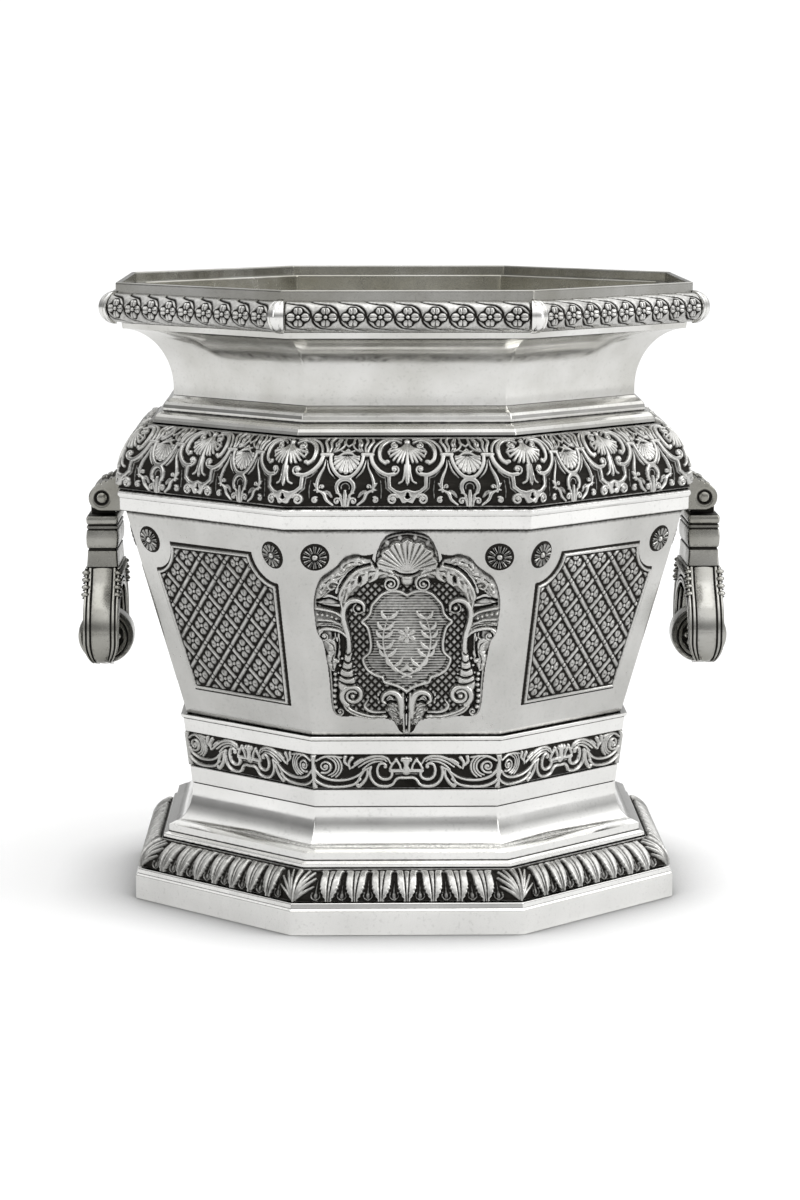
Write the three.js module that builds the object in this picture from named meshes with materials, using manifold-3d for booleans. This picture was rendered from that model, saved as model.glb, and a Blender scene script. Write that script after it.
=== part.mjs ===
// Eight-sided silver champagne bucket on a moulded foot: raised silver shells, cast
// and applied borders, two drop handles on hinge pins and a lift-out liner.
// Millimetres, +Z up. The origin is the centre of the underside; -Y is the front.
import * as THREE from 'three';
import { mergeVertices } from 'three/addons/utils/BufferGeometryUtils.js';
import Module from 'manifold-3d';

const wasm = await Module();
wasm.setup();

// ---------------------------------------------------------------- driving dimensions
// "Apothem" is the distance from the bucket's axis to the middle of a flat side.
const SIDES = 8;
const SIDE_ANGLE = (2 * Math.PI) / SIDES;
const CORNER = Math.cos(SIDE_ANGLE / 2); // apothem divided by corner radius
const GAP = 0.3; // solder or bearing line between pieces that touch
const SHEET = 1.8; // raised silver sheet

const PLINTH = {
  apothem: 100.6, height: 8.9, fillet: 99.6, chamfer: 0.7, top: 11.6, wall: 4, ledge: 87, cap: 2,
};
const LEAF = { bottom: 11.9, top: 22.5, centre: 87, reach: 12.2, rise: 11.07, end: 73 };
const FOOT = {
  bottom: 22.8, step: 90.2, stepTop: 24, neckFoot: 24.7, neck: 88.2, neckTop: 27.4,
  cove: 86.2, coveBottom: 28.5, throat: 79.4, coveTop: 41, top: 42.3,
};
const LOWER = {
  bottom: 42.6, top: 68.9, apothem: 79.5, lean: 0.125, ledge: 0.8, ledgeHeight: 1.6, wall: 3.2,
};
const FRIEZE = { bottom: 49.2, top: 61.9, recess: 1.5, proud: 0.4 };
const WALL = { bottom: 69.2, top: 153.8, apothem: 81.3, lean: 0.276 };
const FLOOR = { apothem: 75.6, bottom: 43, thick: 2.4 };
const SHOULDER = {
  bottom: 146.3, top: 154, apothem: 104.7, topApothem: 105.5, round: 0.8, back: 103.9, lap: 2.6,
};
const BAND = { bottom: 154.3, top: 178.2, centre: 90, level: 157, reach: 16, rise: 22, start: -7, end: 74.5 };
const NECK = {
  bottom: 178.5, foot: 92.4, reed: 88.6, reedTop: 182.2, collar: 85.9, collarTop: 187.2,
  throat: 85, throatTop: 190.8, reach: 19, rise: 22.4, lip: 103.4, top: 215.2,
};
const RIM = { bottom: 215.5, top: 230, outer: 105.3, inner: 103.6, seat: 224.4, seatInner: 101.5 };
const TORUS = { level: 220.95, radius: 5.55, back: 105.6, stripHalf: 42.5, strapProud: 0.35 };
const LINER = {
  floor: 46.4, apothem: 74.4, waist: 82.2, sheet: 1.5, top: 226.3, flange: 103.2, wall: 101.1,
  flangeThick: 1.6, mouth: 217.2,
};

const PANEL = { bottom: 10.2, bottomHalf: 25.6, notch: 10.8 };
const PANEL_THICK = 1.6;
const ROSETTE = { across: 32.5, up: 69.5, radius: 5.3, thick: 1.6, facets: 20 };
const CARTOUCHE_THICK = 3.6;

const PIN = { x: 113.4, z: 148, radius: 1.9, bore: 2.25, reach: 17.3 };
const EAR = { radius: 4.9, inner: 10, outer: 17.5, base: -7.4, plate: 1.8, bottom: -4.8, rise: 6, peak: 8.4 };
const STEM = { tongue: 4.6, tongueHalf: 9.7, half: 17.5, depth: 6, top: -6.6, bottom: -27 };
const BAIL = {
  depth: 6.5, collarHalf: 20.5, collarZ: -31, armHalf: 32.5, heel: 24.5, toe: 9.4,
  foot: -61.6, footFall: 2.8, footThick: 2.4,
  arch: 26, archRise: 17, archCorner: 0.8,
};
const GRIP = { z: -54.2, half: 26, radius: 4.2, waist: 3.1, knop: 10.6, knopHalf: 8.6, facets: 24 };

// ---------------------------------------------------------------- materials
const silver = (color, roughness) => () => new THREE.MeshStandardMaterial({ color, roughness, metalness: 1 });
const polished = silver(0xe4e3de, 0.16);
const cast = silver(0xb9b8b2, 0.34);
const worn = silver(0xc9c8c1, 0.26);
const gilt = silver(0xd6d3c8, 0.24);

// ---------------------------------------------------------------- small geometry helpers
const bucket = new THREE.Group();

function piece(parent, name, geometry, material) {
  const mesh = new THREE.Mesh(geometry, material());
  mesh.name = name;
  parent.add(mesh);
  return mesh;
}

// Points on an ellipse, from one angle to another in degrees.
function arc(centreA, centreZ, reach, rise, from, to, steps) {
  return Array.from({ length: steps + 1 }, (_, i) => {
    const angle = THREE.MathUtils.degToRad(from + ((to - from) * i) / steps);
    return [centreA + reach * Math.cos(angle), centreZ + rise * Math.sin(angle)];
  });
}

// An open profile moved sideways: to its left, which is the inside of a profile that climbs.
function offset(profile, distance) {
  return profile.map(([a, z], i) => {
    const [beforeA, beforeZ] = profile[Math.max(i - 1, 0)];
    const [afterA, afterZ] = profile[Math.min(i + 1, profile.length - 1)];
    const length = Math.hypot(afterA - beforeA, afterZ - beforeZ);
    return [a - (distance * (afterZ - beforeZ)) / length, z + (distance * (afterA - beforeA)) / length];
  });
}

// An eight-sided ring from a closed counter-clockwise profile of [apothem, height].
function octagonRing(profile, closed = true) {
  const points = profile.map(([a, z]) => new THREE.Vector2(a / CORNER, z));
  if (closed) points.push(points[0].clone());
  return new THREE.LatheGeometry(points, SIDES, SIDE_ANGLE / 2).rotateX(Math.PI / 2);
}

// A shell of even thickness under an outer profile that climbs.
function shellRing(outer, thickness) {
  const inner = offset(outer, thickness);
  inner[0][1] = outer[0][1];
  inner[inner.length - 1][1] = outer[outer.length - 1][1];
  return octagonRing([...outer, ...inner.reverse()]);
}

function toSolid(geometry) {
  const bare = geometry.clone();
  bare.deleteAttribute('normal');
  bare.deleteAttribute('uv');
  const merged = mergeVertices(bare, 1e-4);
  return new wasm.Manifold(new wasm.Mesh({
    numProp: 3,
    vertProperties: new Float32Array(merged.attributes.position.array),
    triVerts: new Uint32Array(merged.index.array),
  }));
}

function toGeometry(solid) {
  const { vertProperties, triVerts } = solid.getMesh();
  const geometry = new THREE.BufferGeometry();
  geometry.setAttribute('position', new THREE.BufferAttribute(vertProperties, 3));
  geometry.setIndex(new THREE.BufferAttribute(triVerts, 1));
  return geometry;
}

function join(first, ...rest) {
  return toGeometry(rest.reduce((solid, geometry) => solid.add(toSolid(geometry)), toSolid(first)));
}

// A flat outline pushed out along the local Z axis.
function slab(outline, thickness, curveSegments = 12) {
  return new THREE.ExtrudeGeometry(outline, { depth: thickness, bevelEnabled: false, curveSegments });
}

// A side view drawn as [outward, up] and pushed along Y from one place to another.
function sideSlab(points, from, to) {
  const outline = new THREE.Shape(points.map(([x, z]) => new THREE.Vector2(x, z)));
  return slab(outline, to - from).rotateX(Math.PI / 2).translate(0, to, 0);
}

// A profile set at a place along one side; "across" gives that place from the apothem.
function alongSide(profile, side, across) {
  const turn = new THREE.Matrix4().makeRotationZ(side * SIDE_ANGLE);
  return profile.map(([a, z]) => new THREE.Vector3(across(a), -a, z).applyMatrix4(turn));
}

// A solid skinned over equal sections in turn, each convex, with flat ends.
function loft(sections) {
  const count = sections[0].length;
  const last = (sections.length - 1) * count;
  const triangles = [];
  for (let start = 0; start < last; start += count) {
    for (let i = 0; i < count; i += 1) {
      const next = (i + 1) % count;
      triangles.push(start + i, start + count + i, start + next);
      triangles.push(start + next, start + count + i, start + count + next);
    }
  }
  for (let i = 1; i < count - 1; i += 1) {
    triangles.push(0, i, i + 1, last, last + i + 1, last + i);
  }
  const geometry = new THREE.BufferGeometry().setFromPoints(sections.flat());
  geometry.setIndex(triangles);
  return geometry;
}

function rodAlongY(radius, from, to, facets) {
  const rod = new THREE.CylinderGeometry(radius, radius, to - from, facets);
  return rod.translate(0, (from + to) / 2, 0);
}

// A group turned to one of the eight sides, in which -Y is outward.
function sideGroup(side) {
  const group = new THREE.Group();
  group.rotation.z = side * SIDE_ANGLE;
  bucket.add(group);
  return group;
}

// A group lying on the leaning wall: X across, Y up the slope, Z straight out.
function wallGroup(side) {
  const slope = Math.atan(WALL.lean);
  const group = new THREE.Group();
  group.position.set(0, -WALL.apothem - GAP * Math.cos(slope), WALL.bottom - GAP * Math.sin(slope));
  group.rotation.x = Math.PI / 2 + slope;
  sideGroup(side).add(group);
  return group;
}

// ---------------------------------------------------------------- foot
function addFoot() {
  const { wall, ledge, cap, fillet } = PLINTH;
  piece(bucket, 'base_plinth', octagonRing([
    [PLINTH.apothem - wall, 0], [PLINTH.apothem, 0], [PLINTH.apothem, PLINTH.height],
    [fillet + 0.3, PLINTH.height + PLINTH.chamfer], [fillet, PLINTH.top], [ledge, PLINTH.top],
    [ledge, PLINTH.top - cap], [PLINTH.apothem - wall, PLINTH.top - cap],
  ]), polished);

  const ovolo = arc(LEAF.centre, LEAF.bottom, LEAF.reach, LEAF.rise, 0, LEAF.end, 8);
  ovolo.push([PLINTH.ledge + 1, LEAF.top], [PLINTH.ledge + 1, LEAF.bottom]);
  piece(bucket, 'foot_leaf_border', octagonRing(ovolo), cast);

  const { cove, throat, coveTop, coveBottom } = FOOT;
  const hollow = arc(cove, coveTop, cove - throat, coveTop - coveBottom, 262, 180, 8);
  piece(bucket, 'foot_shell', shellRing([
    [FOOT.step, FOOT.bottom], [FOOT.step, FOOT.stepTop], [FOOT.neck, FOOT.neckFoot],
    [FOOT.neck, FOOT.neckTop], ...hollow, [throat, FOOT.top],
  ], SHEET), polished);
}

// ---------------------------------------------------------------- body
const lowerFace = (z) => LOWER.apothem + LOWER.lean * (z - LOWER.bottom);
const wallFace = (z) => WALL.apothem + WALL.lean * (z - WALL.bottom);

function addLowerBody() {
  const ledgeBottom = LOWER.top - LOWER.ledgeHeight;
  const recess = (z) => lowerFace(z) - FRIEZE.recess;
  piece(bucket, 'lower_body', octagonRing([
    [LOWER.apothem - LOWER.wall, LOWER.bottom], [LOWER.apothem, LOWER.bottom],
    [lowerFace(FRIEZE.bottom - GAP), FRIEZE.bottom - GAP], [recess(FRIEZE.bottom), FRIEZE.bottom - GAP],
    [recess(FRIEZE.top), FRIEZE.top + GAP], [lowerFace(FRIEZE.top + GAP), FRIEZE.top + GAP],
    [lowerFace(ledgeBottom), ledgeBottom], [lowerFace(ledgeBottom) + LOWER.ledge, ledgeBottom + 0.4],
    [lowerFace(LOWER.top) + LOWER.ledge, LOWER.top], [LOWER.apothem - LOWER.wall, LOWER.top],
  ]), polished);

  piece(bucket, 'scroll_frieze', octagonRing([
    [recess(FRIEZE.bottom) + GAP, FRIEZE.bottom], [lowerFace(FRIEZE.bottom) + FRIEZE.proud, FRIEZE.bottom],
    [lowerFace(FRIEZE.top) + FRIEZE.proud, FRIEZE.top], [recess(FRIEZE.top) + GAP, FRIEZE.top],
  ]), cast);

  piece(bucket, 'body_floor', octagonRing([
    [0, FLOOR.bottom], [FLOOR.apothem, FLOOR.bottom],
    [FLOOR.apothem, FLOOR.bottom + FLOOR.thick], [0, FLOOR.bottom + FLOOR.thick],
  ], false), polished);
}

function addBody() {
  piece(bucket, 'body_shell', octagonRing([
    [wallFace(WALL.bottom) - SHEET, WALL.bottom], [wallFace(WALL.bottom), WALL.bottom],
    [wallFace(SHOULDER.bottom - GAP), SHOULDER.bottom - GAP],
    [SHOULDER.back - GAP, SHOULDER.bottom + SHOULDER.lap + GAP], [SHOULDER.back - GAP, WALL.top],
    [SHOULDER.back - GAP - SHEET, WALL.top], [wallFace(SHOULDER.bottom) - SHEET, SHOULDER.bottom],
  ]), polished);

  piece(bucket, 'shoulder_band', octagonRing([
    [wallFace(SHOULDER.bottom) + GAP, SHOULDER.bottom], [SHOULDER.apothem, SHOULDER.bottom],
    [SHOULDER.topApothem, SHOULDER.top - SHOULDER.round],
    [SHOULDER.topApothem - SHOULDER.round, SHOULDER.top],
    [SHOULDER.back, SHOULDER.top], [SHOULDER.back, SHOULDER.bottom + SHOULDER.lap],
  ]), polished);

  const swell = arc(BAND.centre, BAND.level, BAND.reach, BAND.rise, BAND.start, BAND.end, 10);
  swell.push([NECK.foot, BAND.top]);
  swell[0][1] = BAND.bottom;
  piece(bucket, 'strapwork_band', shellRing(swell, SHEET), cast);
}

// Outer surface of the neck, from the reeds up through the throat to the lip.
function neckProfile() {
  const flare = arc(NECK.throat + NECK.reach, NECK.throatTop, NECK.reach, NECK.rise, 180, 93, 10);
  return [
    [NECK.foot, NECK.bottom], [NECK.foot - 1.2, NECK.reedTop - 0.6], [NECK.reed + 1.4, NECK.reedTop],
    [NECK.reed, NECK.reedTop + 0.4], [NECK.reed - 0.8, NECK.collarTop - 1], [NECK.collar, NECK.collarTop],
    [NECK.throat, NECK.collarTop + 1], ...flare, [NECK.lip, NECK.top],
  ];
}

function addNeck() {
  piece(bucket, 'neck_shell', shellRing(neckProfile(), SHEET), polished);
}

// ---------------------------------------------------------------- rim
// One half-round strip of flowers along each side, and one plain strap over each corner.
function addRim() {
  piece(bucket, 'rim_collar', octagonRing([
    [RIM.seatInner, RIM.bottom], [RIM.outer, RIM.bottom], [RIM.outer, RIM.top],
    [RIM.inner, RIM.top], [RIM.inner, RIM.seat], [RIM.seatInner, RIM.seat],
  ]), polished);

  const halfRound = (radius) => arc(TORUS.back, TORUS.level, radius, radius, -90, 90, 10);
  const strip = halfRound(TORUS.radius);
  const strap = halfRound(TORUS.radius + TORUS.strapProud);
  const end = TORUS.stripHalf;
  for (let side = 0; side < SIDES; side += 1) {
    const stripEnds = [alongSide(strip, side, () => -end), alongSide(strip, side, () => end)];
    piece(bucket, `rim_flower_strip_${side + 1}`, loft(stripEnds), cast);
    piece(bucket, `rim_corner_strap_${side + 1}`, loft([
      alongSide(strap, side, () => end + GAP),
      alongSide(strap, side, (a) => a * Math.tan(SIDE_ANGLE / 2)),
      alongSide(strap, side + 1, () => -end - GAP),
    ]), polished);
  }
}

// ---------------------------------------------------------------- applied ornament
const SIDE_NAMES = ['front', 'front_right', 'right', 'back_right', 'back', 'back_left', 'left', 'front_left'];

// A panel that widens upward, with a hollow quarter round cut from each upper corner.
function panelOutline() {
  const outline = new THREE.Shape();
  const { across, up } = ROSETTE;
  outline.moveTo(-PANEL.bottomHalf, PANEL.bottom);
  outline.lineTo(PANEL.bottomHalf, PANEL.bottom);
  outline.lineTo(across, up - PANEL.notch);
  outline.absarc(across, up, PANEL.notch, -Math.PI / 2, -Math.PI, true);
  outline.lineTo(PANEL.notch - across, up);
  outline.absarc(-across, up, PANEL.notch, 0, -Math.PI / 2, true);
  return outline;
}

// Half of the cartouche's edge from the shell crest down to the pendant, mirrored.
function cartoucheOutline() {
  const half = [
    [7, 78.2], [11, 72.6], [19, 70.4], [27, 64], [31.5, 58], [32.8, 50.5], [31.4, 41],
    [28.2, 32], [26.2, 22], [24.5, 9.6], [15, 7.2], [5.5, 7.4], [1.8, 1],
  ];
  const mirrored = half.map(([x, y]) => [-x, y]).reverse();
  const points = [...half, ...mirrored].map(([x, y]) => new THREE.Vector2(x, y));
  return new THREE.Shape(points);
}

function addOrnament() {
  for (let side = 0; side < SIDES; side += 1) {
    const wall = wallGroup(side);
    if (side % (SIDES / 2) === 0) {
      const outline = slab(cartoucheOutline(), CARTOUCHE_THICK);
      piece(wall, `cartouche_${SIDE_NAMES[side]}`, outline, cast);
    } else {
      piece(wall, `diaper_panel_${SIDE_NAMES[side]}`, slab(panelOutline(), PANEL_THICK, 5), cast);
    }
    for (const hand of [-1, 1]) {
      const boss = new THREE.CylinderGeometry(ROSETTE.radius, ROSETTE.radius, ROSETTE.thick, ROSETTE.facets);
      boss.rotateX(Math.PI / 2).translate(hand * ROSETTE.across, ROSETTE.up, ROSETTE.thick / 2);
      piece(wall, `rosette_${SIDE_NAMES[side]}_${hand < 0 ? 'a' : 'b'}`, boss, cast);
    }
  }
}

// ---------------------------------------------------------------- liner
function addLiner() {
  const neck = offset(neckProfile(), SHEET + 2 * GAP).filter(([, z]) => z > NECK.throatTop);
  const flare = neck.filter(([a]) => a > LINER.waist && a < LINER.wall - 1);
  const outer = [
    [0, LINER.floor], [LINER.apothem, LINER.floor], [LINER.waist, NECK.throatTop], ...flare,
    [LINER.wall, LINER.mouth], [LINER.wall, LINER.top - LINER.flangeThick],
    [LINER.flange, LINER.top - LINER.flangeThick], [LINER.flange, LINER.top],
  ];
  const inner = [
    [LINER.wall - LINER.sheet, LINER.top], [LINER.wall - LINER.sheet, LINER.mouth + 0.6],
    ...offset(flare, LINER.sheet).reverse(), [LINER.waist - LINER.sheet, NECK.throatTop],
    [LINER.apothem - LINER.sheet, LINER.floor + LINER.sheet], [0, LINER.floor + LINER.sheet],
  ];
  piece(bucket, 'liner', octagonRing([...outer, ...inner], false), gilt);
}

// ---------------------------------------------------------------- handles
// Everything here is drawn about the hinge pin: X outward, Y along the pin, Z up.
function earSide(from, to) {
  const round = arc(0, 0, EAR.radius, EAR.radius, -90, 62, 10);
  const side = [[EAR.base, EAR.bottom], ...round, [EAR.base + 1, EAR.peak], [EAR.base, EAR.rise]];
  return sideSlab(side, from, to);
}

function bracketGeometry() {
  const plate = sideSlab([
    [EAR.base, EAR.bottom], [EAR.base + EAR.plate, EAR.bottom],
    [EAR.base + EAR.plate, EAR.peak - 0.4], [EAR.base + 1, EAR.peak], [EAR.base, EAR.rise],
  ], -EAR.inner - 1, EAR.inner + 1);
  const ears = join(plate, earSide(-EAR.outer, -EAR.inner), earSide(EAR.inner, EAR.outer));
  const bore = rodAlongY(PIN.bore, -EAR.outer - 1, EAR.outer + 1, 24);
  return toGeometry(toSolid(ears).subtract(toSolid(bore)));
}

// The bail seen along its swing axis: a stirrup with an arched opening, whose feet turn
// in towards the knop. Drawn for the right half and mirrored.
function bailOutline() {
  const { collarHalf, collarZ, armHalf, heel, toe, foot, footThick, arch, archRise, archCorner } = BAIL;
  const toeZ = foot - BAIL.footFall;
  const half = new THREE.Path();
  half.moveTo(STEM.half, STEM.bottom + 1);
  half.lineTo(collarHalf, collarZ);
  half.bezierCurveTo(collarHalf + 3, collarZ - 5, armHalf, collarZ - 8, armHalf, GRIP.z + 4);
  half.quadraticCurveTo(armHalf, foot, heel, foot);
  half.lineTo(toe, toeZ);
  half.lineTo(toe, toeZ + footThick);
  half.lineTo(arch - archCorner, foot + footThick);
  half.quadraticCurveTo(arch, foot + footThick, arch, foot + footThick + archCorner);
  half.absellipse(0, GRIP.z + 2.2, arch, archRise, 0, Math.PI / 2, false, 0);
  const right = half.getPoints(8);
  const left = right.slice(0, -1).reverse().map(({ x, y }) => new THREE.Vector2(-x, y));
  return new THREE.Shape([...right, ...left]);
}

function bailGeometry() {
  const eye = arc(0, 0, STEM.tongue, STEM.tongue, 0, 180, 12);
  const tongue = sideSlab([[-STEM.tongue, STEM.top - 1], [STEM.tongue, STEM.top - 1], ...eye],
    -STEM.tongueHalf, STEM.tongueHalf);
  const stem = sideSlab([
    [-STEM.depth + 0.6, STEM.bottom], [STEM.depth - 0.6, STEM.bottom], [STEM.depth, STEM.top - 2],
    [STEM.depth - 1, STEM.top], [-STEM.depth + 1, STEM.top], [-STEM.depth, STEM.top - 2],
  ], -STEM.half, STEM.half);
  // The slab is pushed out along the outline's own Z, which then becomes X.
  const arms = slab(bailOutline(), 2 * BAIL.depth).translate(0, 0, -BAIL.depth);
  arms.applyMatrix4(new THREE.Matrix4().makeBasis(
    new THREE.Vector3(0, 1, 0), new THREE.Vector3(0, 0, 1), new THREE.Vector3(1, 0, 0),
  ));
  const solid = toSolid(join(tongue, stem, arms));
  return toGeometry(solid.subtract(toSolid(rodAlongY(PIN.bore, -STEM.half, STEM.half, 24))));
}

// A turned grip: plain ends, a slim waist and a flattened round knop in the middle.
function gripGeometry() {
  const { half, radius, waist, knop, knopHalf, facets } = GRIP;
  const swell = arc(0, 0, knop, knopHalf + 0.6, -64, 64, 8);
  const profile = [
    [0, GAP - half], [radius, GAP - half], [radius, 3 - half], [waist, 5 - half], [waist, -knopHalf - 1],
    ...swell, [waist, knopHalf + 1], [waist, half - 5], [radius, half - 3],
    [radius, half - GAP], [0, half - GAP],
  ];
  const points = profile.map(([r, y]) => new THREE.Vector2(r, y));
  return new THREE.LatheGeometry(points, facets).translate(0, 0, GRIP.z);
}

function addHandles() {
  for (const [name, turn] of [['right', 0], ['left', Math.PI]]) {
    const group = new THREE.Group();
    group.position.set(turn ? -PIN.x : PIN.x, 0, PIN.z);
    group.rotation.z = turn;
    bucket.add(group);
    piece(group, `handle_bracket_${name}`, bracketGeometry(), worn);
    piece(group, `hinge_pin_${name}`, rodAlongY(PIN.radius, -PIN.reach, PIN.reach, 24), worn);
    piece(group, `handle_${name}`, bailGeometry(), worn);
    piece(group, `handle_grip_${name}`, gripGeometry(), worn);
  }
}

addFoot();
addLowerBody();
addBody();
addNeck();
addRim();
addOrnament();
addLiner();
addHandles();

export default bucket;
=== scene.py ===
"""The fine surface of a silver champagne bucket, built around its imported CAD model.

The modelling functions work in millimetres in the bucket's own frame: +Z up, the origin under
the middle of the foot, side 0 facing -Y and the eight sides numbered anticlockwise from above.
"Apothem" is the distance from the axis to the middle of a flat side.
"""
from math import atan, cos, hypot, pi, radians, sin, tan

import bmesh
import bpy
import numpy as np
from mathutils import Matrix, Vector
from mathutils.geometry import tessellate_polygon


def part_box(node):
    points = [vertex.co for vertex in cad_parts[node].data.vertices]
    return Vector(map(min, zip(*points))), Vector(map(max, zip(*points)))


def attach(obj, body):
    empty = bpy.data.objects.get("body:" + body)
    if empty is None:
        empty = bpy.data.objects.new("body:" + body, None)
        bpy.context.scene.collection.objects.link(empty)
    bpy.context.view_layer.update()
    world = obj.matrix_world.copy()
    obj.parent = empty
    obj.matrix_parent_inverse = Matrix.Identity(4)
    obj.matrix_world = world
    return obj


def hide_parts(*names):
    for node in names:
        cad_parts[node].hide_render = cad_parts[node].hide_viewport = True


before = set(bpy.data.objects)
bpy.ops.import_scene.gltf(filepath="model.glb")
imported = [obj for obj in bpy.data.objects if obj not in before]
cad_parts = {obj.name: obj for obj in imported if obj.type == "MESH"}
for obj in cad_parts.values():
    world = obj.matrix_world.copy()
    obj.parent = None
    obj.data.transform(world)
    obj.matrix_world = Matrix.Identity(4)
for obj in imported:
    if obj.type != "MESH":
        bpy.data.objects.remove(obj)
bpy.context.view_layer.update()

# ---------------------------------------------------------------- measures
MM = 0.001
SIDES = 8
SIDE_TURN = 2 * pi / SIDES
MITRE = tan(SIDE_TURN / 2)          # half the width of a side, divided by its apothem
SIDE_NAMES = ["front", "front_right", "right", "back_right", "back", "back_left", "left", "front_left"]
SHEET = 1.8                         # raised silver sheet
EDGE = 0.7                          # rounding of the eight upright mitred edges
CREASE = 38                         # an edge that turns by more degrees than this stays sharp
STRIP_RADIUS = 5.55                 # the half-round flower strip under the rim
STRIP_HALF = 42.5                   # half its length
BOSS_ACROSS = 32.5                  # a rosette's place on its wall, from the middle of the side
BOSS_UP = 69.5                      # and up the slope


def bottom(node):
    """The height of a CAD node's underside."""
    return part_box(node)[0].z / MM


def top(node):
    """The height of a CAD node's upper side."""
    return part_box(node)[1].z / MM


def apothem(node):
    """The largest apothem of an eight-sided CAD node."""
    return -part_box(node)[0].y / MM


# ---------------------------------------------------------------- meshes
def ellipse(centre_a, centre_z, reach, rise, start, end, steps):
    """Points on an ellipse in a profile, from one angle to another in degrees."""
    angles = np.radians(np.linspace(start, end, steps + 1))
    return [(centre_a + reach * cos(t), centre_z + rise * sin(t)) for t in angles]


def soften(points, radius, steps=3, closed=True):
    """Rounds the real corners of a profile and adds a point on each side to hold the flats."""
    softened = []
    count = len(points)
    for i, point in enumerate(points):
        if not closed and i in (0, count - 1):
            softened.append(tuple(point))
            continue
        here = np.array(point, float)
        before = np.array(points[i - 1], float) - here
        after = np.array(points[(i + 1) % count], float) - here
        length_in, length_out = hypot(*before), hypot(*after)
        before /= length_in
        after /= length_out
        bend = np.arccos(np.clip(-before @ after, -1, 1))
        if bend < radians(14):
            softened.append(tuple(here))
            continue
        reach = min(radius * tan(bend / 2), 0.3 * length_in, 0.3 * length_out)
        start, end = here + before * reach, here + after * reach
        if length_in > 3 * reach:
            softened.append(tuple(start + before * 0.5 * reach))
        for t in np.linspace(0, 1, steps + 1):
            softened.append(tuple((1 - t) ** 2 * start + 2 * t * (1 - t) * here + t ** 2 * end))
        if length_out > 3 * reach:
            softened.append(tuple(end + after * 0.5 * reach))
    return softened


def octagon(size, rounding=EDGE, steps=3):
    """An octagon of one apothem with rounded corners and held flats, as [x, y] points."""
    rounding, hold = min(rounding, size / 2), min(0.6, size / 4)
    centre = (size - rounding) / cos(SIDE_TURN / 2)
    outline = []
    for corner in range(SIDES):
        facing = -pi / 2 + (corner + 0.5) * SIDE_TURN
        middle = np.array([cos(facing), sin(facing)]) * centre
        turns = np.linspace(-0.5, 0.5, steps + 1) * SIDE_TURN + facing
        arc = [middle + rounding * np.array([cos(t), sin(t)]) for t in turns]
        along = np.array([-sin(turns[0]), cos(turns[0])])
        outline.append(arc[0] - along * hold)
        outline += arc
        along = np.array([-sin(turns[-1]), cos(turns[-1])])
        outline.append(arc[-1] + along * hold)
    return np.array(outline)


def add_object(name, data):
    """A new object in the scene."""
    item = bpy.data.objects.new(name, data)
    bpy.context.scene.collection.objects.link(item)
    return item


def new_mesh(name, vertices, faces, sharp=CREASE):
    """A smooth-shaded mesh object from millimetre vertices, with edges kept sharp past an angle."""
    mesh = bpy.data.meshes.new(name)
    mesh.from_pydata((np.asarray(vertices, float) * MM).tolist(), [], faces)
    mesh.validate()
    mesh.shade_smooth()
    mesh.set_sharp_from_angle(angle=radians(sharp))
    return add_object(name, mesh)


def hold_oxide(mesh, amounts):
    """Sets how much black oxide stays at each point of a mesh."""
    values = np.asarray(amounts, np.float32)
    mesh.attributes.new("oxide", "FLOAT", "POINT").data.foreach_set("value", values)


def rework(mesh, work):
    """Opens a mesh for editing, does the work on it and writes it back."""
    solid = bmesh.new()
    solid.from_mesh(mesh)
    work(solid)
    solid.to_mesh(mesh)
    solid.free()


def face_outward(solid):
    bmesh.ops.recalc_face_normals(solid, faces=solid.faces)


def close_gaps(solid):
    """Fills the holes of a mesh and turns its faces outward."""
    gaps = [edge for edge in solid.edges if edge.is_boundary]
    if gaps:
        bmesh.ops.holes_fill(solid, edges=gaps, sides=0)
    face_outward(solid)


def weld(solid):
    """Joins the points that lie in one place."""
    bmesh.ops.remove_doubles(solid, verts=solid.verts, dist=1e-6)


def place(piece, material, body, slot, *nodes):
    """Gives a finished piece its material and its CAD body, and hides the CAD nodes it stands for; slot is
    not used.
    """
    piece.data.materials.clear()
    piece.data.materials.append(material)
    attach(piece, body)
    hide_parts(*nodes)


def swept_faces(rows, columns, close_rows=True):
    """Quads between rows of points that each run all the way round, and back to the first row if closed."""
    faces = []
    for j in range(rows if close_rows else rows - 1):
        upper = (j + 1) % rows
        for i in range(columns):
            right = (i + 1) % columns
            faces.append((j * columns + i, j * columns + right, upper * columns + right, upper * columns + i))
    return faces


def crevices(profile):
    """How much oxide stays at each point of a profile: only where it turns sharply inward."""
    points = np.array(profile, float)
    ahead, behind = np.roll(points, -1, axis=0) - points, points - np.roll(points, 1, axis=0)
    cross = behind[:, 0] * ahead[:, 1] - behind[:, 1] * ahead[:, 0]
    turn = np.degrees(np.arctan2(cross, (behind * ahead).sum(axis=1)))
    return np.clip((-turn - 7) / 9, 0, 0.85)


def octagon_ring(name, profile, rounding=EDGE, stains=()):
    """A closed anticlockwise profile of (apothem, height) carried round the eight sides.

    Each stain is a (height, reach, amount) where oxide has crept out of a joint.
    """
    outlines = [octagon(size, rounding) for size, _ in profile]
    vertices = [(x, y, height) for outline, (_, height) in zip(outlines, profile) for x, y in outline]
    ring = new_mesh(name, vertices, swept_faces(len(profile), len(outlines[0])))
    held = crevices(profile)
    heights = np.array([height for _, height in profile])
    for level, reach, amount in stains:
        held = np.maximum(held, amount * np.clip(1 - np.abs(heights - level) / reach, 0, 1))
    hold_oxide(ring.data, np.repeat(held, len(outlines[0])))
    return ring


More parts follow.
